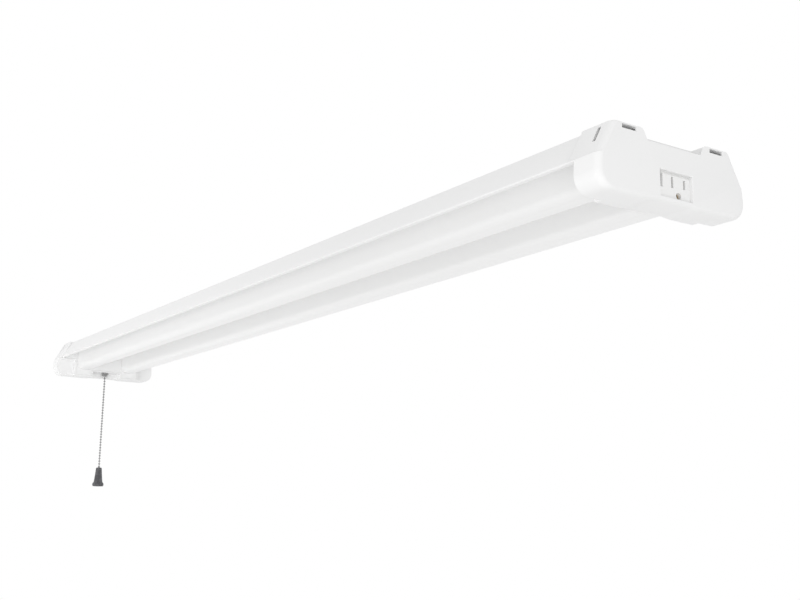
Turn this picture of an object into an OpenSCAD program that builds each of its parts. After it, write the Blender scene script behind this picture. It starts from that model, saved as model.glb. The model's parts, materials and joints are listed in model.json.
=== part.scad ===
// Linkable LED shop light with twin lenses, hung from the hook slots in its end caps.
// The origin is the centre of the housing's flat top. +X runs to the outlet end, +Z is up.

/* [Overall] */
// Length over both end caps
overall_len = 1219; // [900:1:1500]

/* [Housing] */
// Width across the flat top
housing_top_w = 119; // [112:1:120]
// Width across the lower edges
housing_low_w = 147; // [142:1:148]
// Height from the lower edges to the top
housing_h = 24.5; // [23:0.5:26]
// Thickness of the sheet steel
sheet_t = 0.6; // [0.5:0.1:0.9]
// Width of the hem turned in along each lower edge
hem_w = 5; // [4.5:0.5:6]
// Distance that the sheet stops short of each end cap's outer face
housing_setback = 14.3; // [13:0.1:16]
// Radius of the two ceiling screw holes
ceiling_hole_r = 2.6; // [2:0.1:4]
// Spacing of the two ceiling screw holes
ceiling_hole_gap = 1067; // [700:1:1100]

/* [Lamp tray] */
// Width of the tray's flat floor
tray_floor_w = 104; // [100:1:108]
// Height of the wiring space above the tray's underside
tray_drop = 13.5; // [13:0.1:14]
// Width of the foot that rests on each hem
tray_foot_w = 4; // [3:0.5:5]
// Length of a lens hook lanced from the tray
hook_len = 14; // [8:1:20]
// Number of hooks along each edge of a lens
hook_count = 8; // [4:1:12]

/* [Lenses] */
// Width of each lens
lens_w = 24; // [22:0.5:26]
// Distance between the middles of the two lenses
lens_gap = 71; // [70:1:74]
// Depth of the lenses below the housing's top
lens_drop = 39.8; // [36:0.1:41]
// Wall of the lenses
lens_wall = 1.4; // [1:0.1:1.8]
// Outer radius of the lenses' lower corners
lens_r = 7.5; // [4:0.5:9]
// Width of the foot turned in along each edge of a lens
lens_foot_w = 2.4; // [1.5:0.1:2.8]

/* [LED boards] */
// Width of a board
board_w = 10; // [8:0.5:11]
// Thickness of a board
board_t = 1; // [0.8:0.1:1.6]
// Length of one LED package
led_len = 3.5; // [2.5:0.1:5]
// Width of one LED package
led_w = 2.8; // [2:0.1:3.5]
// Height of one LED package
led_h = 0.7; // [0.5:0.1:1.2]
// Distance from one LED to the next
led_pitch = 24; // [16:1:40]
// Number of screws on each board
board_screw_count = 6; // [4:2:8]

/* [End caps] */
// Depth of a cap along the light
cap_depth = 31.5; // [31:0.5:36]
// Wall of the caps
cap_wall = 1.8; // [1.5:0.1:2]
// Width across the tops of the ears
cap_top_w = 123.4; // [123:0.2:126]
// Width below the ledge at the height of the housing's lower edges
cap_mid_w = 153.4; // [153:0.2:155]
// Width and height of the ledge along each side of a cap
cap_ledge = 1; // [0.6:0.1:1.2]
// Width across the rounded lower part
cap_low_w = 157; // [156:0.5:162]
// Depth of the caps below the housing's top
cap_drop = 50.5; // [50:0.1:54]
// Rise of the middle of the bottom above its two swells
cap_swell = 0.8; // [0.4:0.1:1]
// Radius of the lower corners
cap_corner_r = 13; // [8:0.5:14]
// Depth of the parts of a cap beside the lenses
cap_side_depth = 25; // [24:0.1:27]
// How far the end face is rounded back along the light
cap_round = 6.5; // [3:0.5:8]
// Height of the ears over the housing's top
ear_rise = 1.8; // [1.2:0.1:2.5]
// Width of the low part between the ears
ear_gap = 68; // [62:1:70]
// Depth of the low part below the housing's top
ear_dip = 7; // [6:0.5:8]

/* [Hook slots] */
// Width of a hook slot in the end face
hook_slot_w = 14; // [10:0.5:16]
// Height of a hook slot in the end face
hook_slot_h = 3; // [2.5:0.1:3.6]
// Distance between the two hook slots of one end face
hook_slot_gap = 92; // [90:0.2:93]
// Distance of a side slot's middle from the end face
side_slot_at = 11.8; // [11:0.1:12.2]
// Width of a side slot
side_slot_w = 3.2; // [2.6:0.1:3.4]
// Height of a side slot
side_slot_h = 12; // [8:0.5:13]

/* [Outlet] */
// Width of the outlet's recess
outlet_w = 34; // [32:0.5:36]
// Height of the outlet's recess
outlet_h = 20; // [19.5:0.1:20.4]
// Depth of the outlet's recess
outlet_recess = 2.8; // [2.4:0.1:3]
// Distance between the two blade slots
blade_gap = 12.7; // [12.3:0.1:14]
// Height of the longer blade slot
blade_slot_long = 8.6; // [8:0.1:9.4]
// Height of the shorter blade slot
blade_slot_short = 7; // [6.4:0.1:8]
// Width of a blade slot
blade_slot_w = 2.1; // [1.8:0.1:2.4]
// Distance from the blades' middle to the ground hole
ground_gap = 9.6; // [9.2:0.1:10]
// Radius of the ground hole
ground_hole_r = 2.6; // [2.3:0.1:2.8]
// Length of the insulating body behind the face
outlet_len = 12.5; // [11:0.5:13]

/* [Pull switch] */
// Distance of the chain from the far end face
nipple_at = 24; // [23.5:0.1:24.2]
// Outer radius of the threaded nipple
nipple_r = 4; // [3.8:0.1:4.1]
// Radius of the nipple's bore
nipple_bore_r = 2.2; // [2.1:0.05:2.4]
// Radius of the ring nut
ring_r = 5.3; // [5:0.1:5.4]
// Height of the ring nut
ring_h = 3; // [2:0.1:4]
// Width of the switch body
switch_w = 22; // [20:0.5:24]
// Height of the switch body
switch_h = 22.5; // [22:0.5:24]
// Wall of the switch body
switch_wall = 1.2; // [1:0.1:1.3]
// Travel of the pull
pull_travel = 8; // [6:0.5:8]
// Radius of the ratchet over its teeth
ratchet_r = 5.6; // [5:0.1:5.8]
// Number of teeth on the ratchet
ratchet_teeth = 8; // [4:4:12]
// Number of turns of the return spring
spring_turns = 6; // [4:1:8]

/* [Pull chain] */
// Radius of a bead
bead_r = 1.6; // [1.4:0.1:1.8]
// Distance from one bead to the next
bead_pitch = 4.2; // [4.1:0.1:5]
// Number of beads between the switch and the bell
bead_count = 32; // [10:1:80]
// Height of the pull bell
bell_h = 29; // [22:1:36]
// Lower radius of the pull bell
bell_low_r = 8.6; // [7:0.1:11]
// Upper radius of the pull bell
bell_top_r = 4.6; // [4:0.1:6]

/* [Driver] */
// Length of the driver's case
driver_len = 240; // [200:1:300]
// Width of the driver's case
driver_w = 42; // [40:1:46]
// Height of the driver's case
driver_h = 10.4; // [9.8:0.1:10.8]
// Place of the driver's middle along the light
driver_x = -190; // [-260:1:0]

/* [Hidden] */

$fn = 48;
// Overrun of a cut past the face that it opens
over = 1;
// Gap left between pieces that are fitted by hand
fit_gap = 0.3;
// Gap left between pieces that are seated on each other
seat_gap = 0.1;
// Gap between a shaft and its bore
run_gap = 0.05;
// Smallest radius that an outline's corner is given
least_r = 0.4;
// Steps round each corner of an outline
corner_steps = 5;

// Housing and tray
half_len = overall_len / 2;
housing_half = half_len - housing_setback;
low_z = -housing_h;
tray_z = -tray_drop;
tray_top = tray_z + sheet_t;
foot_z = low_z + sheet_t + seat_gap;
tray_outer_w = housing_low_w - 6 * sheet_t;
bulk_at = cap_depth - cap_wall;
tray_half = half_len - bulk_at;
hook_gap = lens_wall + fit_gap + seat_gap;
hook_reach = 1.6;

// Lenses and boards
lens_insert = 5;
lens_half = half_len - cap_depth + lens_insert;
lens_y = lens_gap / 2;
lens_top = tray_z - seat_gap;
board_margin = 14;
board_half = lens_half - board_margin;
led_count = floor(2 * board_half / led_pitch);

// Screws of one self-tapping size hold the whole light together
screw_r = 1.6;
screw_head_r = 3.2;
screw_head_h = 1.3;
screw_head_share = 0.8;
screw_len = 6.5;
screw_hole_r = 2;
cap_screw_y = 15;
cap_screw_at = 22.5;
boss_r = 3.6;
boss_h = 8;
tongue_w = 44;
riser_w = ear_gap + 2 * cap_wall;

// Ends of the caps, as far as they are rounded off
round_steps = 4;
round_side = 5;
round_top = 0.8;
round_low = 2;
ear_r = 2;
ear_inner_r = 5;
ear_lean = 4;
ledge_r = 0.6;
swell_r = 6;
swell_y = 26;
swell_mid_y = 18;
hook_slot_top = 0.2;
side_slot_top = -1.8;

// Raised middle of a cap's underside, where the far cap has its pull switch
pocket_w = 44;
pocket_at = 18.4;
pocket_z = -42;
floor_z = pocket_z + cap_wall;

// Space beside the lenses that a cap leaves free below the housing's lower edges
side_y = 51.6;
side_z = low_z - seat_gap - cap_wall;

// Outlet
outlet_y = 1;
outlet_z = -36.2;
socket_y = 5.6;
blade_z = -33.2;
flange_side_lap = 2;
flange_low_lap = 0.6;
flange_w = outlet_w + 2 * flange_side_lap;
flange_h = outlet_h + 2 * flange_low_lap;
flange_t = 3;
outlet_ear_w = 8;
outlet_ear_h = 8;
outlet_face = -outlet_recess - seat_gap / 2;
outlet_back = outlet_face - outlet_len;
outlet_body_w = 30;
outlet_body_h = 19;
outlet_screw_len = 4.4;
pad_r = 3.2;
contact_t = 0.5;
contact_play = 0.3;
contact_tail = 4;
contact_tail_h = 4;

// Cord inlet in the far end face
inlet_y = -40;
inlet_z = -33;
inlet_r = 5.4;
inlet_bore_r = 3.7;
inlet_flange_r = 7;
inlet_flange_t = 1.6;
inlet_len = 8;

// Pull switch
switch_x = -half_len + nipple_at;
switch_near = -half_len + bulk_at - fit_gap;
switch_back_gap = 5.5;
switch_far = -half_len + switch_back_gap;
switch_top = floor_z + switch_h;
slider_w = 8;
slider_h = 4.6;
slider_top = switch_top - switch_wall - fit_gap;
slider_low = slider_top - slider_h;
pawl_h = 2;
pawl_len = 0.9;
ratchet_t = 5;
ratchet_axle_r = 1.2;
ratchet_root_share = 0.78;
ratchet_x = switch_x - slider_w / 2 - pawl_len - fit_gap - ratchet_r;
ratchet_z = slider_low + pawl_h / 2 - pull_travel / 2;
nipple_in = 1.6;
nipple_out = 2.5;
nipple_top = floor_z + nipple_in;
nipple_low = pocket_z - ring_h - nipple_out;
spring_r = 3.2;
spring_wire_r = 0.35;
spring_sides = 6;
spring_steps = 8;
terminal_t = 0.8;
terminal_w = 5;
terminal_h = 5;
terminal_gap = 7;

// Pull chain: the beads count down from the one that the slider holds
link_r = 0.5;
seat_z = slider_low + bead_r + fit_gap;
clear_z = min(nipple_low, -cap_drop);
stub_count = ceil((seat_z - clear_z + bead_r + fit_gap) / bead_pitch);
pivot_z = seat_z - stub_count * bead_pitch;
bell_neck_t = 0.8;
bell_band_h = 4;
bell_lip_r = 1;
bell_hole_r = 2.4;
bell_neck_z = pivot_z - (bead_count + 0.5) * bead_pitch;
bell_top = bell_neck_z + bell_neck_t / 2;

// Driver
driver_t = 0.6;
driver_tab = 10;
driver_end_share = 0.2;
driver_play = 0.2;
driver_cover_skirt = 4;
driver_board_t = 1.6;
driver_part_h = 6.2;
ground_x = -420;
ground_y = -35;
led_hole_x = 40;

splice_x = -358;
splice_y = -40;
splice_len = 17.8;
splice_w = 7;
splice_h = 8.2;

// Wires: each route is chosen by hand, counted from the end that it starts at
wire_r = 1.1;
wire_sides = 8;
wire_z = -6.5;

// The places at the ends of the light and of the driver that the routes are counted from
far = -half_len;
near = half_len;
case_far = driver_x - driver_len / 2;
case_near = driver_x + driver_len / 2;

line_route = [[far + 8.9, -38.2, -31.5], [far + 8.9, -35.8, -28.5], [far + 9, -30, -21],
    [far + 9.5, -19, -14], [far + 9.7, -12, -11.4], [far + 9.7, -8.4, -10.8],
    [far + 9.7, -7.1, -11.4], [far + 9.7, -7, -12.4]];
switched_route = [[far + 16.7, 7, -12.4], [far + 16.7, 7.1, -11.4], [far + 16.7, 8.4, -10.4],
    [far + 16.7, 12, -10], [far + 17.1, 20, -9.5], [far + 21.5, 27, -8], [far + 33.5, 31, -6.5],
    [case_far - 110, 24, -7.2], [case_far - 30, 16, -7.5], [case_far - 6, 12.5, -8],
    [case_far + 4, 12, -9.2], [case_far + 10, 12, -9.2]];
neutral_far_route = [[far + 8.7, -41.8, -34.8], [far + 11.5, -42, -33], [far + 14.5, -42, -27],
    [far + 16, -41.5, -16], [far + 21.5, -40.5, -8.5], [far + 31.5, -40, -6.5],
    [splice_x - 9, -40, -6.5]];
neutral_near_route = [[splice_x + 9, -40, -6.5], [near - 49.5, -40, -6.5],
    [near - 29.5, -38, -6.8], [near - 20.5, -30, -10], [near - 19.5, -20, -17],
    [near - 19.5, -10, -25], [near - 20.5, -3.5, -30.5], [near - 21.3, socket_y - blade_gap / 2, -32.6],
    [near - 19.8, socket_y - blade_gap / 2, blade_z]];
neutral_lead_route = [[splice_x + 9, -40, -10.6], [splice_x + 12, -40, -10.7],
    [splice_x + 18, -38, -11.2], [case_far - 15, -25, -11.2], [case_far - 3, -13, -9.6],
    [case_far + 4, -12, -9.2], [case_far + 10, -12, -9.2]];
ground_route = [[far + 8.7, -38.2, -34.8], [far + 13, -37.8, -33.8], [far + 17.5, -37, -28],
    [far + 19.5, -36, -16], [far + 24.5, -35.2, -8.5], [far + 33.5, -35, -6.5],
    [ground_x - 20, -35, -6.5], [ground_x - 6, -35, -3.1], [ground_x + 6, -35, -3.1],
    [ground_x + 20, -35, -6.5], [near - 49.5, -35, -6.5], [near - 34.5, -33, -6.8],
    [near - 25, -28, -9], [near - 22.9, -18, -16], [near - 23.5, -9, -26],
    [near - 23.9, 0, -34], [near - 22.9, 4.6, -38.6], [near - 21.1, socket_y, -40.2],
    [near - 19.8, socket_y, -40.2]];
outlet_route = [[far + 8.7, -42.6, -31.2], [far + 9.5, -44, -27.6], [far + 10.5, -46, -22],
    [far + 12.5, -47, -14], [far + 19.5, -46.5, -8], [far + 29.5, -45, -6.5],
    [near - 49.5, -45, -6.5], [near - 27.5, -44, -6.8], [near - 17.5, -36, -10.5],
    [near - 17.1, -20, -13.5], [near - 17.1, -5, -17], [near - 19.1, 6, -25],
    [near - 21.9, 11.6, -31], [near - 21.7, socket_y + blade_gap / 2, -32.9],
    [near - 20.8, socket_y + blade_gap / 2, blade_z], [near - 19.8, socket_y + blade_gap / 2, blade_z]];
led_route = [[case_near - 12, 8, -9.2], [case_near - 4, 8, -9.2], [case_near + 4, 8.5, -9.6],
    [case_near + 30, 14, -11.4], [0, 26, -11.4], [led_hole_x - 10, 33.5, -11.4],
    [led_hole_x - 3, 35, -11.5], [led_hole_x - 0.6, 35.5, -12.4], [led_hole_x, 35.5, -14.2]];

// A vector of length 1
function unit(v) = v / norm(v);
function left_of(v) = [-v[1], v[0]];

// The point of an open line moved t to the left of its run
function mitre(p, i, t) =
    let (last = len(p) - 1)
    let (a = unit(i == 0 ? p[1] - p[0] : p[i] - p[i - 1]))
    let (b = unit(i == last ? p[last] - p[last - 1] : p[i + 1] - p[i]))
    let (na = left_of(a), nb = left_of(b))
    p[i] + (na + nb) * t / (1 + na * nb);

// The closed outline of a sheet of thickness t folded along an open line
function folded(p, t) = concat(p, [for (i = [len(p) - 1:-1:0]) mitre(p, i, t)]);

// A corner of a closed outline as an arc of equal steps
function corner_arc(before, at, after, r) =
    let (a = unit(before - at), b = unit(after - at))
    let (half = acos(max(-1, min(1, a * b))) / 2)
    let (c = at + unit(a + b) * r / sin(half))
    let (s = at + a * r / tan(half) - c, e = at + b * r / tan(half) - c)
    let (from = atan2(s[1], s[0]), turn = (atan2(e[1], e[0]) - from + 540) % 360 - 180)
    [for (i = [0:corner_steps])
        let (angle = from + turn * i / corner_steps)
        c + r * [cos(angle), sin(angle)]];

// A closed outline through corners [y, z, radius], each rounded
function rounded(c) =
    let (n = len(c), p = [for (q = c) [q[0], q[1]]])
    [for (i = [0:n - 1])
        each corner_arc(p[(i + n - 1) % n], p[i], p[(i + 1) % n], max(c[i][2], least_r))];

// The corners of a clockwise outline moved in by t, with their radii
function inset(c, t) =
    let (n = len(c), p = [for (q = c) [q[0], q[1]]])
    [for (i = [0:n - 1])
        let (a = unit(p[i] - p[(i + n - 1) % n]), b = unit(p[(i + 1) % n] - p[i]))
        let (na = left_of(a), nb = left_of(b), bend = a[0] * b[1] - a[1] * b[0])
        let (q = p[i] - (na + nb) * t / (1 + na * nb))
        [q[0], q[1], c[i][2] + (bend < 0 ? -t : t)]];

// The right half of an outline with its mirror image, as one closed list
function both_sides(c) = concat(c, [for (i = [len(c) - 1:-1:0]) [-c[i][0], c[i][1], c[i][2]]]);

// A smooth skin over rings of equal counts, each ring [x, outline in Y and Z]. Each end is closed by
// a fan about a point [y, z] in the outline's right half, its mirror image and a face between them.
module loft(rings, fan) {
    n = len(rings[0][1]);
    m = len(rings);
    half = n / 2;
    skin = [for (r = rings) each [for (q = r[1]) [r[0], q[0], q[1]]]];
    hubs = [for (r = [rings[0], rings[m - 1]]) for (side = [1, -1]) [r[0], side * fan[0], fan[1]]];
    sides = [for (j = [0:m - 2]) for (i = [0:n - 1])
        let (k = (i + 1) % n, a = j * n, b = a + n)
        each [[a + i, a + k, b + k], [a + i, b + k, b + i]]];
    ends = [for (end = [0, 1])
        let (a = end * (m - 1) * n, right = m * n + 2 * end, left = right + 1)
        let (faces = concat(
            [for (i = [0:half - 2]) [a + i, a + i + 1, right]],
            [for (i = [half:n - 2]) [a + i, a + i + 1, left]],
            [[a, right, a + half - 1, a + half, left, a + n - 1]]))
        each end == 1 ? faces : [for (face = faces) [for (i = [len(face) - 1:-1:0]) face[i]]]];
    polyhedron(concat(skin, hubs), concat(sides, ends), convexity = 6);
}

// The direction of a route at a point, and the side that is carried along it without a twist
function run_at(route, i) = unit(route[min(i + 1, len(route) - 1)] - route[max(i - 1, 0)]);
function side_at(route, i) =
    let (d = run_at(route, i))
    let (before = i == 0 ? (abs(d[2]) > 0.8 ? [1, 0, 0] : [0, 0, 1]) : side_at(route, i - 1))
    unit(before - (before * d) * d);

// A round wire along a route of points
module tube(route, r, sides) {
    n = len(route);
    points = [for (i = [0:n - 1])
        let (d = run_at(route, i), u = side_at(route, i), v = cross(d, u))
        for (k = [0:sides - 1])
            route[i] + r * (cos(360 * k / sides) * u + sin(360 * k / sides) * v)];
    faces = [for (i = [0:n - 2]) for (k = [0:sides - 1])
        let (q = (k + 1) % sides, a = i * sides, b = a + sides)
        each [[a + k, b + k, b + q], [a + k, b + q, a + q]]];
    low = [for (k = [0:sides - 1]) k];
    high = [for (k = [sides - 1:-1:0]) (n - 1) * sides + k];
    polyhedron(points, concat(faces, [low], [high]), convexity = 6);
}

// An outline in Y and Z drawn out along X
module along_x(from, to) {
    translate([from, 0, 0])
        rotate([90, 0, 90])
            linear_extrude(height = to - from, convexity = 6)
                children();
}

// A box given by its low and high corners
module block(low, high) {
    translate(low)
        cube(high - low);
}

// A cylinder lying along X
module rod_x(from, to, r) {
    translate([from, 0, 0])
        rotate([0, 90, 0])
            cylinder(h = to - from, r = r);
}

// Places what it holds at one end: side 1 is the outlet end and side -1 the chain end
module at_end(side) {
    if (side > 0)
        translate([half_len, 0, 0])
            children();
    else
        translate([-half_len, 0, 0])
            mirror([1, 0, 0])
                children();
}

// A screw with its head's underside at the origin and its shank along -Z
module screw(length) {
    translate([0, 0, -length])
        cylinder(h = length, r = screw_r);
    difference() {
        cylinder(h = screw_head_h, r1 = screw_head_r, r2 = screw_head_r * screw_head_share);
        for (turn = [0, 90])
            rotate([0, 0, turn])
                translate([-screw_r, -screw_r / 6, screw_head_h / 2])
                    cube([2 * screw_r, screw_r / 3, screw_head_h]);
    }
}

// The outline that the housing's sheet is rolled to
housing_line = [
    [-housing_low_w / 2 + hem_w, low_z],
    [-housing_low_w / 2, low_z],
    [-housing_top_w / 2, 0],
    [housing_top_w / 2, 0],
    [housing_low_w / 2, low_z],
    [housing_low_w / 2 - hem_w, low_z]];

// The places of the screws that hold a cap to the housing, in the cap's own place
module cap_screw_places() {
    for (y = [-cap_screw_y, cap_screw_y])
        translate([-cap_screw_at, y, 0])
            children();
}

// The upright slots through a cap's sides, for wire hooks
module side_slots() {
    block([-side_slot_at - side_slot_w / 2, -cap_low_w / 2, side_slot_top - side_slot_h],
        [-side_slot_at + side_slot_w / 2, cap_low_w / 2, side_slot_top]);
}

// The roll-formed channel that carries everything
module housing() {
    color("white")
        difference() {
            along_x(-housing_half, housing_half)
                polygon(folded(housing_line, -sheet_t));
            for (side = [-1, 1]) {
                translate([side * ceiling_hole_gap / 2, 0, -2 * sheet_t])
                    cylinder(h = 4 * sheet_t, r = ceiling_hole_r);
                at_end(side)
                    cap_screw_places()
                        translate([0, 0, -2 * sheet_t])
                            cylinder(h = 4 * sheet_t, r = screw_hole_r);
            }
            translate([ground_x, ground_y, -2 * sheet_t])
                cylinder(h = 4 * sheet_t, r = screw_r + run_gap);
        }
}

module end_cap_screws() {
    color("silver")
        for (side = [-1, 1])
            at_end(side)
                cap_screw_places()
                    screw(screw_len);
}

module ground_screw() {
    color("green")
        translate([ground_x, ground_y, -sheet_t])
            rotate([180, 0, 0])
                screw(2 * sheet_t);
}

// The outline that the tray's sheet is folded to
tray_line = [
    [-tray_outer_w / 2, foot_z],
    [-tray_outer_w / 2 + tray_foot_w, foot_z],
    [-tray_floor_w / 2, tray_z],
    [tray_floor_w / 2, tray_z],
    [tray_outer_w / 2 - tray_foot_w, foot_z],
    [tray_outer_w / 2, foot_z]];
hook_in = lens_w / 2 - lens_wall - lens_foot_w - fit_gap;
hook_pitch = 2 * (tray_half - hook_len) / (hook_count - 1);

// One row of the lanced hooks that hold a lens by its feet
module hook_row() {
    low = -hook_gap - sheet_t;
    for (i = [0:hook_count - 1])
        translate([-tray_half + hook_len / 2 + i * hook_pitch, 0, tray_z]) {
            block([0, hook_in - sheet_t, low], [hook_len, hook_in, sheet_t / 2]);
            block([0, hook_in - sheet_t, low], [hook_len, hook_in + hook_reach, -hook_gap]);
        }
}

// Screws spread evenly along a board, each midway between two LEDs
module board_screw_places(y) {
    for (i = [0:board_screw_count - 1])
        let (after = round((i + 0.5) * led_count / board_screw_count))
            translate([(after - led_count / 2) * led_pitch, y, tray_z])
                children();
}

// The folded sheet that closes the wiring space and carries the lamps
module lamp_tray() {
    color("white")
        for (y = [-lens_y, lens_y])
            translate([0, y, 0]) {
                hook_row();
                mirror([0, 1, 0])
                    hook_row();
            }
    color("white")
        difference() {
            along_x(-tray_half, tray_half)
                polygon(folded(tray_line, sheet_t));
            for (y = [-lens_y, lens_y]) {
                translate([led_hole_x, y, tray_z - sheet_t])
                    cylinder(h = 3 * sheet_t, r = 2 * wire_r);
                board_screw_places(y)
                    translate([0, 0, -sheet_t])
                        cylinder(h = 3 * sheet_t, r = screw_r + run_gap);
            }
            driver_screw_places()
                translate([0, 0, -2 * sheet_t])
                    cylinder(h = 3 * sheet_t, r = screw_r + run_gap);
        }
}

// The outline of a lens's bowl, moved in by t
function bowl(t) = rounded([
    [lens_w / 2 - t, lens_top, least_r],
    [lens_w / 2 - t, -lens_drop + t, lens_r - t],
    [-lens_w / 2 + t, -lens_drop + t, lens_r - t],
    [-lens_w / 2 + t, lens_top, least_r]]);

module lens(y) {
    color([0.97, 0.97, 0.96])
        translate([0, y, 0])
            difference() {
                along_x(-lens_half, lens_half)
                    polygon(bowl(0));
                along_x(-lens_half - over, lens_half + over)
                    intersection() {
                        polygon(bowl(lens_wall));
                        translate([-lens_w / 2, -lens_drop])
                            square([lens_w, lens_drop + lens_top - lens_wall]);
                    }
                block([-lens_half - over, -lens_w / 2 + lens_wall + lens_foot_w, lens_top - 2 * lens_wall],
                    [lens_half + over, lens_w / 2 - lens_wall - lens_foot_w, over]);
            }
}

module lens_left() lens(-lens_y);
module lens_right() lens(lens_y);

// A board under the tray, with holes for its screws and for its leads
module led_board(y) {
    color([0.95, 0.95, 0.93])
        difference() {
            block([-board_half, y - board_w / 2, tray_z - board_t],
                [board_half, y + board_w / 2, tray_z]);
            board_screw_places(y)
                translate([0, 0, -2 * board_t])
                    cylinder(h = 3 * board_t, r = screw_hole_r);
            translate([led_hole_x, y, tray_z - 2 * board_t])
                cylinder(h = 3 * board_t, r = 1.5 * wire_r);
        }
}

module led_board_left() led_board(-lens_y);
module led_board_right() led_board(lens_y);

// A row of LED packages under a board; the screws fall between them
module leds(y) {
    color([0.98, 0.86, 0.45])
        for (i = [0:led_count - 1])
            translate([(i - (led_count - 1) / 2) * led_pitch, y, tray_z - board_t - led_h])
                translate([-led_len / 2, -led_w / 2, 0])
                    cube([led_len, led_w, led_h]);
}

module leds_left() leds(-lens_y);
module leds_right() leds(lens_y);

module board_screws() {
    color("silver")
        for (y = [-lens_y, lens_y])
            board_screw_places(y)
                translate([0, 0, -board_t])
                    rotate([180, 0, 0])
                        screw(board_t + 3 * sheet_t);
}

// End caps: each is drawn at the origin with its end face at X = 0 and its depth along -X

cap_corners = both_sides([
    [ear_gap / 2 - ear_lean, -ear_dip, ear_r],
    [ear_gap / 2, ear_rise, ear_inner_r],
    [cap_top_w / 2, ear_rise, ear_r],
    [cap_mid_w / 2 - cap_ledge, low_z + cap_ledge / 2, ledge_r],
    [cap_mid_w / 2, low_z - cap_ledge / 2, ledge_r],
    [cap_low_w / 2, -cap_drop, cap_corner_r],
    [swell_y, -cap_drop, swell_r],
    [swell_mid_y, -cap_drop + cap_swell, swell_r]]);

// The middle of the cap's outline below an ear
cap_fan = [(ear_gap + cap_top_w) / 4, (ear_rise - cap_drop) / 2];

// An outline drawn in at its sides, top and bottom, as the rounded end needs
function drawn_in(outline, share) =
    [for (q = outline)
        let (low = (ear_rise - q[1]) / (ear_rise + cap_drop))
        [q[0] * (1 - share * round_side / (cap_low_w / 2)),
            q[1] + share * (low * round_low - (1 - low) * round_top)]];

// The rings of a cap's skin, moved in by t and starting t behind the end face
function cap_rings(t, end) =
    let (outline = rounded(inset(cap_corners, t)))
    concat([[-end, outline]],
        [for (i = [round_steps:-1:0])
            let (angle = 90 * i / round_steps)
            [-t - cap_round * (1 - cos(angle)), drawn_in(outline, 1 - sin(angle))]]);

// The housing's own outline as a solid, with a little room round its sides
module housing_room(from, to) {
    along_x(from, to)
        polygon([
            [-housing_low_w / 2 - seat_gap, low_z - seat_gap],
            [-housing_top_w / 2 - seat_gap, 0],
            [housing_top_w / 2 + seat_gap, 0],
            [housing_low_w / 2 + seat_gap, low_z - seat_gap]]);
}

module pocket(t) {
    block([-cap_depth - over, -pocket_w / 2 - t, -cap_drop - over],
        [-pocket_at + t, pocket_w / 2 + t, pocket_z + t]);
}

// The room beside each lens that a cap's shallower sides leave free
module side_rooms(t) {
    for (side = [0, 1])
        mirror([0, side, 0])
            block([-cap_depth - over, side_y - t, -cap_drop - over],
                [-cap_side_depth + t, cap_low_w / 2 + over, side_z + t]);
}

// A cap's shell, with the raised pocket for the switch where it is asked for
module cap_shell(pocketed) {
    housing_end = -housing_setback + fit_gap;
    difference() {
        union() {
            difference() {
                loft(cap_rings(0, cap_depth), cap_fan);
                difference() {
                    loft(cap_rings(cap_wall, cap_depth + over), cap_fan);
                    side_rooms(cap_wall);
                    if (pocketed)
                        pocket(cap_wall);
                }
                side_rooms(0);
                if (pocketed)
                    pocket(0);
                housing_room(-cap_depth - over, housing_end);
                for (y = [-hook_slot_gap / 2, hook_slot_gap / 2])
                    block([-cap_round - cap_wall, y - hook_slot_w / 2, hook_slot_top - hook_slot_h],
                        [over, y + hook_slot_w / 2, hook_slot_top]);
                side_slots();
            }
            // The wall that closes the housing's end between the ears, and the tongue under its top
            block([housing_end, -riser_w / 2, -ear_dip - cap_wall],
                [housing_end + cap_wall, riser_w / 2, -seat_gap]);
            block([-bulk_at + fit_gap, -tongue_w / 2, -sheet_t - seat_gap - cap_wall],
                [housing_end + cap_wall, tongue_w / 2, -sheet_t - seat_gap]);
            cap_screw_places()
                translate([0, 0, -sheet_t - seat_gap - boss_h])
                    cylinder(h = boss_h, r = boss_r);
        }
        cap_screw_places()
            translate([0, 0, -screw_len - over])
                cylinder(h = screw_len + over, r = screw_r + run_gap);
    }
}

module outlet_screw_places() {
    for (side = [-1, 1])
        translate([0, outlet_y + side * (flange_w + outlet_ear_w) / 2, outlet_z])
            children();
}

module near_end_cap() {
    face = -outlet_recess;
    color([0.96, 0.96, 0.96])
        at_end(1)
            difference() {
                union() {
                    cap_shell(false);
                    block([face, outlet_y - flange_w / 2, outlet_z - flange_h / 2],
                        [-cap_wall / 2, outlet_y + flange_w / 2, outlet_z + flange_h / 2]);
                    outlet_screw_places()
                        rod_x(face, -cap_wall / 2, pad_r);
                }
                block([face - over, outlet_y - outlet_w / 2, outlet_z - outlet_h / 2],
                    [over, outlet_y + outlet_w / 2, outlet_z + outlet_h / 2]);
                outlet_screw_places()
                    rod_x(face - over, face - flange_t + outlet_screw_len, screw_r + run_gap);
            }
}

module far_end_cap() {
    color([0.96, 0.96, 0.96])
        difference() {
            at_end(-1)
                cap_shell(true);
            translate([switch_x, 0, pocket_z - over])
                cylinder(h = cap_wall + 2 * over, r = nipple_r + run_gap);
            translate([-half_len, inlet_y, inlet_z])
                rod_x(-over, cap_wall + over, inlet_r + run_gap);
        }
}

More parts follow.
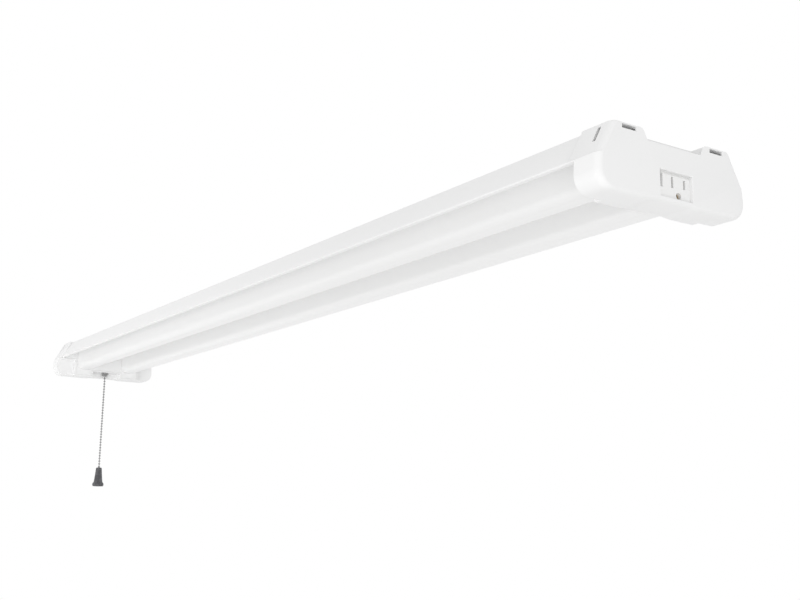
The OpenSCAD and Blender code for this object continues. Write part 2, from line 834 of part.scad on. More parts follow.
// The plate that closes a cap towards the lamps, cut out round both lenses
module bulkhead(pocketed) {
    room = fit_gap / 2;
    wing_top = tray_z - seat_gap;
    difference() {
        along_x(-cap_depth, -bulk_at)
            difference() {
                union() {
                    intersection() {
                        polygon(rounded(inset(cap_corners, cap_wall + room)));
                        translate([-cap_low_w / 2, -cap_drop])
                            square([cap_low_w, cap_drop + low_z - 2 * seat_gap]);
                    }
                    polygon([
                        [-tray_outer_w / 2 + tray_foot_w + seat_gap, low_z - over],
                        [-tray_outer_w / 2 + tray_foot_w + seat_gap, foot_z - seat_gap],
                        [-tray_floor_w / 2, wing_top],
                        [tray_floor_w / 2, wing_top],
                        [tray_outer_w / 2 - tray_foot_w - seat_gap, foot_z - seat_gap],
                        [tray_outer_w / 2 - tray_foot_w - seat_gap, low_z - over]]);
                }
                for (y = [-lens_y, lens_y])
                    translate([y, 0]) {
                        polygon(bowl(-room));
                        translate([-lens_w / 2 - room, lens_top - lens_r])
                            square([lens_w + 2 * room, 2 * lens_r]);
                    }
            }
        side_rooms(cap_wall + room);
        if (pocketed)
            pocket(cap_wall + room);
    }
}

module near_bulkhead() {
    color([0.95, 0.95, 0.95])
        at_end(1)
            bulkhead(false);
}

module far_bulkhead() {
    color([0.95, 0.95, 0.95])
        at_end(-1)
            bulkhead(true);
}

// The insulating body with its flange and ears, before its slots are cut
module outlet_solid() {
    flange_back = outlet_face - flange_t;
    block([flange_back, outlet_y - flange_w / 2, outlet_z - flange_h / 2],
        [outlet_face, outlet_y + flange_w / 2, outlet_z + flange_h / 2]);
    block([flange_back, outlet_y - flange_w / 2 - outlet_ear_w, outlet_z - outlet_ear_h / 2],
        [outlet_face, outlet_y + flange_w / 2 + outlet_ear_w, outlet_z + outlet_ear_h / 2]);
    block([outlet_back, outlet_y - outlet_body_w / 2, outlet_z - outlet_body_h / 2],
        [outlet_face, outlet_y + outlet_body_w / 2, outlet_z + outlet_body_h / 2]);
}

// The room behind a blade slot that its contact stands in
module contact_room(y, high) {
    w = blade_slot_w + 2 * contact_t + 2 * contact_play;
    block([outlet_back - over, y - w / 2, blade_z - high / 2 - contact_play],
        [outlet_face - flange_t, y + w / 2, blade_z + high / 2 + contact_play]);
}

module outlet_body() {
    color([0.93, 0.93, 0.93])
        at_end(1)
            difference() {
                outlet_solid();
                for (side = [-1, 1]) {
                    high = side < 0 ? blade_slot_long : blade_slot_short;
                    y = socket_y + side * blade_gap / 2;
                    block([outlet_face - flange_t - over, y - blade_slot_w / 2, blade_z - high / 2],
                        [over, y + blade_slot_w / 2, blade_z + high / 2]);
                    contact_room(y, high);
                }
                translate([0, socket_y, blade_z - ground_gap])
                    rod_x(outlet_back - over, over, ground_hole_r);
                outlet_screw_places()
                    rod_x(outlet_face - flange_t - over, over, screw_hole_r);
            }
}

// A folded contact: two leaves beside the slot, a web and a tail for its wire
module blade_contact(side) {
    high = side < 0 ? blade_slot_long : blade_slot_short;
    front = outlet_face - flange_t - contact_play;
    at_end(1)
        translate([0, socket_y + side * blade_gap / 2, blade_z]) {
            for (leaf = [-1, 1])
                translate([0, leaf * (blade_slot_w + contact_t) / 2, 0])
                    block([outlet_back, -contact_t / 2, -high / 2], [front, contact_t / 2, high / 2]);
            block([outlet_back, -blade_slot_w / 2 - contact_t, -high / 2],
                [outlet_back + contact_t, blade_slot_w / 2 + contact_t, high / 2]);
            block([outlet_back - contact_tail, -contact_t / 2, -contact_tail_h / 2],
                [outlet_back + contact_t, contact_t / 2, contact_tail_h / 2]);
        }
}

module hot_contact() {
    color("gold")
        blade_contact(1);
}

module neutral_contact() {
    color("gold")
        blade_contact(-1);
}

// A sleeve with a tail behind the ground hole
module ground_contact() {
    front = outlet_face - flange_t;
    color("gold")
        at_end(1)
            translate([0, socket_y, blade_z - ground_gap]) {
                difference() {
                    rod_x(outlet_back, front, ground_hole_r - run_gap);
                    rod_x(outlet_back + contact_t, front + over, ground_hole_r - contact_t);
                }
                translate([outlet_back, 0, ground_hole_r])
                    block([-contact_tail, -contact_tail_h / 2, -contact_t / 2],
                        [0, contact_tail_h / 2, contact_t / 2]);
                block([outlet_back - contact_t, -contact_tail_h / 2, 0],
                    [outlet_back, contact_tail_h / 2, ground_hole_r + contact_t / 2]);
            }
}

module outlet_screws() {
    color("silver")
        at_end(1)
            outlet_screw_places()
                translate([outlet_face - flange_t, 0, 0])
                    rotate([0, -90, 0])
                        screw(outlet_screw_len - over);
}

// The bushing that the power cord enters through
module cord_bushing() {
    color([0.2, 0.2, 0.2])
        translate([-half_len, inlet_y, inlet_z])
            difference() {
                union() {
                    rod_x(-inlet_flange_t, 0, inlet_flange_r);
                    rod_x(-inlet_flange_t, inlet_len - inlet_flange_t, inlet_r);
                }
                rod_x(-inlet_flange_t - over, inlet_len + over, inlet_bore_r);
            }
}

// The box behind the nipple, open on one side for its cover
module switch_body() {
    inner = switch_w / 2 - switch_wall;
    color([0.25, 0.25, 0.27])
        difference() {
            block([switch_far, -switch_w / 2, floor_z], [switch_near, inner, switch_top]);
            block([switch_far + switch_wall, -inner, floor_z + switch_wall],
                [switch_near - switch_wall, inner + over, switch_top - switch_wall]);
            translate([switch_x, 0, floor_z - over])
                cylinder(h = switch_wall + 2 * over, r = nipple_r + run_gap);
            terminal_places()
                block([-terminal_t / 2 - run_gap, -terminal_w / 2 - run_gap, -switch_wall - over],
                    [terminal_t / 2 + run_gap, terminal_w / 2 + run_gap, over]);
        }
}

module switch_cover() {
    color([0.6, 0.45, 0.3])
        block([switch_far, switch_w / 2 - switch_wall, floor_z], [switch_near, switch_w / 2, switch_top]);
}

// The threaded nipple that the chain runs through, with its mouth belled out
module switch_nipple() {
    color([0.7, 0.7, 0.72])
        translate([switch_x, 0, 0])
            difference() {
                translate([0, 0, nipple_low])
                    cylinder(h = nipple_top - nipple_low, r = nipple_r);
                translate([0, 0, nipple_low - over])
                    cylinder(h = nipple_top - nipple_low + 2 * over, r = nipple_bore_r);
                translate([0, 0, nipple_low - run_gap])
                    cylinder(h = bead_r, r1 = nipple_r - 2 * least_r, r2 = nipple_bore_r);
            }
}

// The round nut that clamps the switch to the cap
module ring_nut() {
    color([0.7, 0.7, 0.72])
        translate([switch_x, 0, pocket_z - ring_h])
            difference() {
                union() {
                    cylinder(h = ring_h, r = ring_r - least_r);
                    translate([0, 0, ring_h / 4])
                        cylinder(h = ring_h / 2, r = ring_r);
                }
                translate([0, 0, -over])
                    cylinder(h = ring_h + 2 * over, r = nipple_r + run_gap);
            }
}

// The slider that the chain pulls down, with the pawl that turns the ratchet
module switch_slider() {
    half = slider_w / 2;
    color([0.85, 0.82, 0.7])
        translate([switch_x, 0, 0])
            difference() {
                union() {
                    block([-half, -half, slider_low], [half - least_r, half, slider_top]);
                    block([-half - pawl_len, -ratchet_t / 2, slider_low],
                        [-half + over, ratchet_t / 2, slider_low + pawl_h]);
                }
                translate([0, 0, slider_low - over])
                    cylinder(h = 2 * bead_r + 2 * fit_gap + over, r = bead_r + seat_gap);
            }
}

// The return spring between the nipple's top and the slider, one unbroken coil
module switch_spring() {
    rise = slider_low - nipple_top - 2 * spring_wire_r - 2 * seat_gap;
    n = spring_turns * spring_steps;
    color("silver")
        translate([switch_x, 0, nipple_top + spring_wire_r + seat_gap])
            tube([for (i = [0:n]) [
                    spring_r * cos(360 * i / spring_steps),
                    spring_r * sin(360 * i / spring_steps),
                    rise * i / n]],
                spring_wire_r, spring_sides);
}

// The toothed wheel that makes and breaks the circuit, a quarter turn for each pull
module switch_ratchet() {
    step = 360 / ratchet_teeth;
    color([0.85, 0.3, 0.2])
        translate([ratchet_x, ratchet_t / 2, ratchet_z])
            rotate([90, 0, 0])
                difference() {
                    linear_extrude(height = ratchet_t)
                        polygon([for (i = [0:ratchet_teeth - 1]) each [
                            ratchet_r * [cos(i * step), sin(i * step)],
                            ratchet_r * ratchet_root_share * [cos(i * step), sin(i * step)]]]);
                    translate([0, 0, -over])
                        cylinder(h = ratchet_t + 2 * over, r = ratchet_axle_r + run_gap);
                }
}

module switch_axle() {
    inner = switch_w / 2 - switch_wall;
    color("silver")
        translate([ratchet_x, inner, ratchet_z])
            rotate([90, 0, 0])
                cylinder(h = 2 * inner, r = ratchet_axle_r);
}

module terminal_places() {
    for (side = [-1, 1])
        translate([ratchet_x + side * terminal_gap / 2, side * terminal_gap, switch_top])
            children();
}

// Two blades through the top of the switch
module switch_terminals() {
    color("gold")
        terminal_places()
            block([-terminal_t / 2, -terminal_w / 2, -2 * switch_wall],
                [terminal_t / 2, terminal_w / 2, terminal_h]);
}

// Beads count down from one height, with a link into each gap between two of them
module beads(top, count) {
    for (i = [0:count - 1])
        translate([switch_x, 0, top - i * bead_pitch])
            sphere(r = bead_r);
    if (count > 1)
        translate([switch_x, 0, top - (count - 1) * bead_pitch])
            cylinder(h = (count - 1) * bead_pitch, r = link_r);
}

// A link that reaches from one bead to just short of the pivot bead
module end_link(from, to) {
    translate([switch_x, 0, min(from, to)])
        cylinder(h = abs(to - from), r = link_r);
}

module chain_stub() {
    color([0.75, 0.75, 0.76]) {
        beads(seat_z, stub_count);
        end_link(pivot_z + bead_pitch, pivot_z + bead_r + fit_gap / 2);
    }
}

module chain_pivot_bead() {
    color([0.75, 0.75, 0.76])
        translate([switch_x, 0, pivot_z])
            sphere(r = bead_r);
}

module pull_chain() {
    color([0.75, 0.75, 0.76]) {
        beads(pivot_z - bead_pitch, bead_count + 1);
        end_link(pivot_z - bead_pitch, pivot_z - bead_r - fit_gap / 2);
    }
}

// The bell at the chain's end, held between the chain's last two beads
module pull_bell() {
    color([0.3, 0.3, 0.31])
        translate([switch_x, 0, bell_top])
            rotate_extrude()
                polygon([
                    [link_r + run_gap, 0],
                    [bell_top_r - bell_lip_r, 0],
                    [bell_top_r, -bell_lip_r],
                    [bell_top_r + bell_lip_r / 2, -bell_h / 4],
                    [bell_low_r - bell_lip_r, -bell_h + bell_band_h],
                    [bell_low_r, -bell_h + bell_band_h - bell_lip_r / 2],
                    [bell_low_r, -bell_h + bell_lip_r],
                    [bell_low_r - bell_lip_r, -bell_h],
                    [bell_hole_r, -bell_h],
                    [bell_hole_r, -bell_neck_t],
                    [link_r + run_gap, -bell_neck_t]]);
}

// The places of the screws through the driver's two tabs
module driver_screw_places() {
    for (side = [-1, 1])
        translate([driver_x + side * (driver_len + driver_tab) / 2, 0, tray_top])
            children();
}

// The driver's lower case: a folded channel with closed ends and a tab at each end
module driver_case() {
    half = driver_len / 2;
    color([0.8, 0.8, 0.8])
        difference() {
            translate([driver_x, 0, tray_top]) {
                along_x(-half, half)
                    polygon(folded([[-driver_w / 2, driver_h], [-driver_w / 2, 0],
                        [driver_w / 2, 0], [driver_w / 2, driver_h]], driver_t));
                for (side = [-1, 1])
                    translate([side * (half - driver_t / 2), 0, 0])
                        block([-driver_t / 2, -driver_w / 2, 0],
                            [driver_t / 2, driver_w / 2, driver_h * driver_end_share]);
                block([-half - driver_tab, -driver_tab / 2, 0],
                    [half + driver_tab, driver_tab / 2, driver_t]);
            }
            driver_screw_places()
                translate([0, 0, -over])
                    cylinder(h = driver_t + 2 * over, r = screw_hole_r);
        }
}

// The lid that slips over the case
module driver_cover() {
    w = driver_w / 2 + driver_play;
    color([0.82, 0.82, 0.82])
        translate([driver_x, 0, tray_top + driver_h + seat_gap])
            along_x(-driver_len / 2, driver_len / 2)
                polygon(folded([[w, -driver_cover_skirt], [w, 0], [-w, 0], [-w, -driver_cover_skirt]],
                    -driver_t));
}

board_low = tray_top + driver_t + fit_gap;
board_top = board_low + driver_board_t;

module driver_board() {
    half = driver_len / 2 - 2 * driver_t;
    w = driver_w / 2 - driver_t - driver_play;
    color([0.1, 0.4, 0.2])
        block([driver_x - half, -w, board_low], [driver_x + half, w, board_top]);
}

// The wound transformer: a core in two halves with its bobbin between
module driver_transformer() {
    core_w = driver_w / 2;
    core_len = core_w * 0.9;
    color([0.3, 0.25, 0.2])
        translate([driver_x, 0, board_top]) {
            block([-core_len / 2, -core_w / 2, 0], [core_len / 2, core_w / 2, driver_part_h / 2]);
            block([-core_len / 3, -core_w / 2, 0], [core_len / 3, core_w / 2, driver_part_h]);
        }
}

// Round capacitors lying on the board
module driver_capacitors() {
    r = driver_part_h / 2;
    color([0.15, 0.2, 0.5])
        for (x = [-driver_len / 3, -driver_len / 4, driver_len / 4, driver_len / 3])
            translate([driver_x + x, -driver_w / 4, board_top + r])
                rotate([-90, 0, 0])
                    cylinder(h = driver_w / 2.5, r = r);
}

module driver_screws() {
    color("silver")
        driver_screw_places()
            translate([0, 0, driver_t])
                screw(4 * sheet_t);
}

// The live lead from the cord to the switch
module line_wire() {
    color("black")
        tube(line_route, wire_r, wire_sides);
}

// The live lead from the switch to the driver
module switched_wire() {
    color("black")
        tube(switched_route, wire_r, wire_sides);
}

// The neutral from the cord to the splice, on to the outlet, and its lead to the driver
module neutral_wire() {
    color("white")
        for (route = [neutral_far_route, neutral_near_route, neutral_lead_route])
            tube(route, wire_r, wire_sides);
}

// The push-in connector that joins the three neutrals
module splice_connector() {
    color([0.85, 0.75, 0.5])
        difference() {
            block([splice_x - splice_len / 2, splice_y - splice_w / 2, tray_top + seat_gap],
                [splice_x + splice_len / 2, splice_y + splice_w / 2, tray_top + splice_h]);
            for (side = [-1, 1])
                translate([splice_x + side * splice_len / 4, splice_y, tray_top + splice_h])
                    cube([splice_len / 6, splice_w / 2, 2 * seat_gap], center = true);
        }
}

// The ground lead, caught under its screw on its way to the outlet
module ground_wire() {
    color("green")
        tube(ground_route, wire_r, wire_sides);
}

// The live lead that runs past the switch, so that the outlet stays on
module outlet_wire() {
    color("black")
        tube(outlet_route, wire_r, wire_sides);
}

// The leads from the driver, down through the tray to each board
module led_wires() {
    color("red")
        for (side = [-1, 1])
            tube([for (q = led_route) [q[0], side * q[1], q[2]]], wire_r, wire_sides);
}

saddle_y = -40;
saddle_w = 15;
saddle_len = 8;
saddle_foot = 4;
saddle_step = 240;
saddle_count = 4;

// Saddles that hold the long wires down on the tray
module wire_saddles() {
    top = wire_z + 2 * wire_r;
    color([0.9, 0.9, 0.88])
        for (i = [0:saddle_count - 1])
            translate([(i - (saddle_count - 1) / 2) * saddle_step, saddle_y, 0])
                along_x(-saddle_len / 2, saddle_len / 2)
                    polygon(folded([
                        [-saddle_w / 2 - saddle_foot, tray_top + seat_gap],
                        [-saddle_w / 2, tray_top + seat_gap],
                        [-saddle_w / 2, top],
                        [saddle_w / 2, top],
                        [saddle_w / 2, tray_top + seat_gap],
                        [saddle_w / 2 + saddle_foot, tray_top + seat_gap]], sheet_t));
}

housing();
lamp_tray();
lens_left();
lens_right();
led_board_left();
led_board_right();
leds_left();
leds_right();
board_screws();
driver_case();
driver_cover();
driver_board();
driver_transformer();
driver_capacitors();
driver_screws();
ground_screw();
near_end_cap();
far_end_cap();
near_bulkhead();
far_bulkhead();
end_cap_screws();
outlet_body();
hot_contact();
neutral_contact();
ground_contact();
outlet_screws();
cord_bushing();
switch_body();
switch_cover();
switch_nipple();
ring_nut();
switch_slider();
switch_spring();
switch_ratchet();
switch_axle();
switch_terminals();
chain_stub();
chain_pivot_bead();
pull_chain();
pull_bell();
line_wire();
switched_wire();
neutral_wire();
splice_connector();
ground_wire();
outlet_wire();
led_wires();
wire_saddles();
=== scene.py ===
"""A linkable LED shop light with twin lenses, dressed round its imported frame.

Lengths are in metres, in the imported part's own frame: the origin is the centre of the
housing's flat top, +X runs to the outlet end and +Z is up. Sizes written in millimetres
are multiplied by MM where they are used.
"""

import json
import math

import bmesh
import bpy
from mathutils import Matrix, Vector


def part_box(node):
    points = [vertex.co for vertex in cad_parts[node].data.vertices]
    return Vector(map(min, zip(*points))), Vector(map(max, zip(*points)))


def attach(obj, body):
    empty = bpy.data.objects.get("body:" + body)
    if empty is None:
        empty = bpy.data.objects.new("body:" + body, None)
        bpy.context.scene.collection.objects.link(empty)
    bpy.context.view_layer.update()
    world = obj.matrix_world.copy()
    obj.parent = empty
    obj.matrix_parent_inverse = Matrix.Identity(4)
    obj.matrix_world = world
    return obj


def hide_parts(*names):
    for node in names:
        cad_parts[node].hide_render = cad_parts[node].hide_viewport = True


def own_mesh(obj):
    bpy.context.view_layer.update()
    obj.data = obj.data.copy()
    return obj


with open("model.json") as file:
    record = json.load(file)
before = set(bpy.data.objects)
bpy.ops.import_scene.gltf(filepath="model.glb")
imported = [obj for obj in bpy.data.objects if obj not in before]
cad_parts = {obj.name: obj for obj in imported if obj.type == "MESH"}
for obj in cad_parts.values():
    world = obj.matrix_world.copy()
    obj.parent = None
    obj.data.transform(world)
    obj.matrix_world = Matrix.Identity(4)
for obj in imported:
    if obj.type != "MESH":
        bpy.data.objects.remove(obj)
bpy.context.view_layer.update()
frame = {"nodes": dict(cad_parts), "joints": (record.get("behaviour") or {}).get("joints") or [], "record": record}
scene = bpy.context.scene
nodes = frame["nodes"]
slot_of = {row["node"]: row["material_slot"] for row in frame["record"]["subparts"]}
body_of = {
    node: body
    for body, members in frame["record"]["behaviour"]["bodies"].items()
    for node in members
}
MM = 0.001

# Camera
# A 50 mm lens on a 36 mm sensor, a little below the light and beyond its outlet end

CAMERA_PLACE = (1.1385, -0.6001, -0.2848)
CAMERA_YAW = 0.5955
CAMERA_PITCH = 0.2053
CAMERA_ROLL = -0.0106


def make_camera():
    """The camera looks along -X, turned towards +Y, tipped up and slightly rolled."""
    level = math.cos(CAMERA_PITCH)
    forward = Vector(
        (
            -math.cos(CAMERA_YAW) * level,
            math.sin(CAMERA_YAW) * level,
            math.sin(CAMERA_PITCH),
        )
    )
    right = forward.cross(Vector((0, 0, 1))).normalized()
    down = forward.cross(right)
    turned = Matrix.Rotation(CAMERA_ROLL, 3, forward)
    right, down = turned @ right, turned @ down
    data = bpy.data.cameras.new("camera")
    data.lens = 50
    data.sensor_width = 36
    data.clip_end = 100
    camera = bpy.data.objects.new("camera", data)
    scene.collection.objects.link(camera)
    axes = Matrix((right, -down, -forward)).transposed()
    camera.matrix_world = Matrix.Translation(CAMERA_PLACE) @ axes.to_4x4()
    scene.camera = camera


# Finishes


class Value:
    """A number that nodes work out, with Python's arithmetic on it."""

    def __init__(self, recipe, socket):
        self.recipe = recipe
        self.socket = socket

    def __add__(self, other):
        return self.recipe.maths("ADD", self, other)

    def __sub__(self, other):
        return self.recipe.maths("SUBTRACT", self, other)

    def __rsub__(self, other):
        return self.recipe.maths("SUBTRACT", other, self)

    def __mul__(self, other):
        return self.recipe.maths("MULTIPLY", self, other)

    def __truediv__(self, other):
        return self.recipe.maths("DIVIDE", self, other)

    def __rtruediv__(self, other):
        return self.recipe.maths("DIVIDE", other, self)

    def over(self, edge):
        return self.recipe.maths("GREATER_THAN", self, edge)

    __radd__ = __add__
    __rmul__ = __mul__


class Recipe:
    """Nodes in the making: a finish's, the studio's or those of a shape that repeats."""

    def __init__(self, tree):
        self.tree = tree
        tree.nodes.clear()

    def node(self, kind, settings=None, inputs=None):
        """A node with its settings made first and then its inputs set or linked."""
        node = self.tree.nodes.new(kind)
        for name, value in (settings or {}).items():
            if name == "stops":
                self.set_stops(node.color_ramp, value)
            else:
                setattr(node, name, value)
        for name, value in (inputs or {}).items():
            self.feed(node.inputs[name], value)
        return node

    def set_stops(self, ramp, stops):
        while len(ramp.elements) < len(stops):
            ramp.elements.new(1.0)
        for element, (at, level) in zip(ramp.elements, stops):
            element.position = at
            element.color = (level, level, level, 1)

    def feed(self, socket, value):
        if isinstance(value, Value):
            value = value.socket
        if isinstance(value, bpy.types.NodeSocket):
            self.tree.links.new(value, socket)
        elif socket.type == "RGBA" and len(value) == 3:
            socket.default_value = (*value, 1)
        else:
            socket.default_value = value

    def maths(self, operation, *values):
        node = self.node("ShaderNodeMath", {"operation": operation}, dict(enumerate(values)))
        return Value(self, node.outputs[0])


class Finish(Recipe):
    """A material in the making, on the piece's own coordinates."""

    def __init__(self, name):
        self.material = bpy.data.materials.new(name)
        self.material.use_nodes = True
        super().__init__(self.material.node_tree)
        self.shader = self.node("ShaderNodeBsdfPrincipled")
        self.out = self.node("ShaderNodeOutputMaterial", {}, {"Surface": self.shader.outputs[0]})
        self.place = self.node("ShaderNodeTexCoord").outputs["Object"]

    def stretched(self, stretch):
        """The piece's coordinates with each axis scaled."""
        mapping = self.node("ShaderNodeMapping", {}, {"Vector": self.place, "Scale": stretch})
        return mapping.outputs[0]

    def noise(self, scale, detail, stretch=(1, 1, 1)):
        """Cloudy variation about 0.5, with scale clouds to the metre."""
        inputs = {"Vector": self.stretched(stretch), "Scale": scale, "Detail": detail}
        return Value(self, self.node("ShaderNodeTexNoise", {}, inputs).outputs[0])

    def cells(self, scale, output, stretch=(1, 1, 1), settings=None):
        inputs = {"Vector": self.stretched(stretch), "Scale": scale}
        return Value(self, self.node("ShaderNodeTexVoronoi", settings, inputs).outputs[output])

    def ramp(self, value, stops):
        node = self.node("ShaderNodeValToRGB", {"stops": stops}, {"Fac": value})
        return Value(self, node.outputs[0])

    def along(self, axis):
        """The piece's coordinate along one axis, in metres."""
        node = self.node("ShaderNodeSeparateXYZ", {}, {0: self.place})
        return Value(self, node.outputs[axis])

    def mix(self, factor, low, high):
        """A colour between two others."""
        node = self.node("ShaderNodeMix", {"data_type": "RGBA"}, {0: factor, 6: low, 7: high})
        return node.outputs[2]

    def relief(self, height, depth):
        """A normal for a surface that rises by depth metres where height is 1."""
        inputs = {"Height": height, "Distance": depth, "Strength": 1.0}
        return self.node("ShaderNodeBump", {}, inputs).outputs[0]

    def surface(self, **inputs):
        """Sets the shader's inputs, named with underscores for spaces, and gives the material."""
        for name, value in inputs.items():
            self.feed(self.shader.inputs[name.replace("_", " ")], value)
        return self.material


def shade(colour, share):
    return tuple(part * share for part in colour)


def enamel(name, colour):
    """Baked enamel on rolled sheet: orange peel, slow waves in the sheet and a little mottling."""
    f = Finish(name)
    mottle = f.noise(14, 2)
    peel = f.noise(650, 2)
    wave = f.noise(5, 1, (0.6, 1, 1))
    return f.surface(
        Base_Color=f.mix(mottle, shade(colour, 0.985), colour),
        Roughness=0.3 + 0.1 * peel,
        Normal=f.relief(0.08 * peel + wave, 0.25 * MM),
        Coat_Weight=0.2,
        Coat_Roughness=0.18,
    )


def moulding(name, colour, roughness=0.42, grain=1900, depth=0.012):
    """Injection-moulded plastic: fine spark-eroded grain and faint flow marks."""
    f = Finish(name)
    flow = f.noise(22, 2, (1, 0.5, 0.5))
    spark = f.noise(grain, 2)
    return f.surface(
        Base_Color=f.mix(flow, shade(colour, 0.985), colour),
        Roughness=roughness + 0.1 * (spark - 0.5),
        Normal=f.relief(spark, depth * MM),
        Specular_IOR_Level=0.45,
    )


def milky(name, colour):
    """Milky extruded plastic: die lines along the lens, a soft gloss and a painted glow, a white emission that
    lightens the lens's shaded sides.
    """
    f = Finish(name)
    die_lines = f.noise(900, 2, (0.004, 1, 1))
    cloud = f.noise(9, 2, (0.4, 1, 1))
    return f.surface(
        Base_Color=f.mix(cloud, shade(colour, 0.99), colour),
        Roughness=0.3 + 0.12 * die_lines,
        Normal=f.relief(die_lines, 0.02 * MM),
        # Painted glow: white emission that lightens the lens's shaded sides so that they read as evenly bright as
        # its bottom
        Emission_Color=(1, 1, 1),
        Emission_Strength=LENS_PAINTED_GLOW,
        Coat_Weight=0.15,
        Coat_Roughness=0.25,
    )


def metal(name, colour, roughness, grain_stretch=(1, 1, 1), grain=900):
    """Bare or plated metal with drawn or brushed grain."""
    f = Finish(name)
    drawn = f.noise(grain, 3, grain_stretch)
    stain = f.noise(120, 2)
    return f.surface(
        Base_Color=f.mix(stain, shade(colour, 0.9), colour),
        Metallic=1.0,
        Roughness=roughness + 0.16 * (drawn - 0.5),
        Normal=f.relief(drawn, 0.01 * MM),
    )


def galvanised(name, colour):
    """Zinc-dipped sheet with its flakes of spangle."""
    f = Finish(name)
    flakes = f.cells(160, "Color")
    return f.surface(
        Base_Color=f.mix(flakes, shade(colour, 0.78), colour),
        Metallic=0.9,
        Roughness=0.3 + 0.25 * flakes,
    )


def circuit(name, colour, trace):
    """Solder mask over copper traces on a square grid."""
    f = Finish(name)
    grid = f.cells(260, "Distance", (1, 1, 0.01), {"distance": "CHEBYCHEV"})
    tracks = f.ramp(grid, [(0.42, 0.0), (0.46, 1.0)])
    return f.surface(
        Base_Color=f.mix(tracks, colour, trace),
        Roughness=0.32 + 0.1 * tracks,
        Normal=f.relief(tracks, 0.03 * MM),
        Coat_Weight=0.3,
    )


def phosphor(name, colour):
    """The yellow gel of an LED in its white rim."""
    f = Finish(name)
    speckle = f.noise(4000, 2)
    return f.surface(
        Base_Color=f.mix(speckle, shade(colour, 0.88), colour),
        Roughness=0.3 + 0.1 * speckle,
        Coat_Weight=0.4,
    )


def taped_core(name, colour, tape):
    """Ferrite with a wrap of tape round its middle."""
    f = Finish(name)
    sinter = f.noise(900, 3)
    wrap = f.ramp(f.cells(90, "Distance", (1, 0.01, 0.01)), [(0.3, 0.0), (0.33, 1.0)])
    return f.surface(
        Base_Color=f.mix(wrap, colour, tape),
        Roughness=0.5 + 0.2 * sinter,
        Normal=f.relief(sinter, 0.03 * MM),
    )


def sleeve(name, colour, stripe):
    """A shrink sleeve with one pale stripe along its upper side."""
    f = Finish(name)
    shrink = f.noise(300, 2)
    band = f.along("Z").over(STRIPE_LOW * MM)
    return f.surface(
        Base_Color=f.mix(band, colour, stripe),
        Roughness=0.28 + 0.15 * shrink,
        Normal=f.relief(shrink, 0.02 * MM),
    )


def insulation(name, colour):
    """Extruded wire insulation, with the lay of the strands showing faintly."""
    f = Finish(name)
    lay = f.noise(700, 2, (0.15, 1, 1))
    return f.surface(
        Base_Color=f.mix(lay, shade(colour, 0.85), colour),
        Roughness=0.42 + 0.15 * lay,
        Normal=f.relief(lay, 0.03 * MM),
        Sheen_Weight=0.1,
    )


def fibre(name, colour):
    """Pressed fibre board with short hairs in it."""
    f = Finish(name)
    hairs = f.noise(1500, 4, (1, 0.2, 0.2))
    return f.surface(
        Base_Color=f.mix(hairs, shade(colour, 0.75), colour),
        Roughness=0.65 + 0.15 * hairs,
        Normal=f.relief(hairs, 0.04 * MM),
    )


def green_plate(name, colour):
    """Dyed zinc on a screw."""
    f = Finish(name)
    dye = f.noise(500, 3)
    return f.surface(
        Base_Color=f.mix(dye, shade(colour, 0.8), colour),
        Metallic=0.7,
        Roughness=0.3 + 0.15 * dye,
    )


def dark_bell(name, colour):
    """Dark satin metal, turned on a lathe, with paler wear on its skin."""
    f = Finish(name)
    turned = f.noise(60, 2, (1, 1, 40))
    worn = f.ramp(f.noise(140, 3), [(0.45, 0.0), (0.75, 1.0)])
    return f.surface(
        Base_Color=f.mix(worn, colour, shade(colour, 1.8)),
        Metallic=0.45,
        Roughness=0.34 + 0.12 * turned,
        Normal=f.relief(turned, 0.02 * MM),
    )


WHITE_STEEL = (0.86, 0.86, 0.86)
WHITE_CAP = (0.88, 0.88, 0.88)
WHITE_LENS = (0.62, 0.62, 0.618)
# Strength of the lens's painted glow, which lightens its shade; the lens's base colour is set darker to balance it
LENS_PAINTED_GLOW = 0.21
NICKEL = (0.42, 0.42, 0.42)
ZINC = (0.6, 0.6, 0.61)
BELL_GREY = (0.085, 0.085, 0.09)
STRIPE_LOW = -7.2

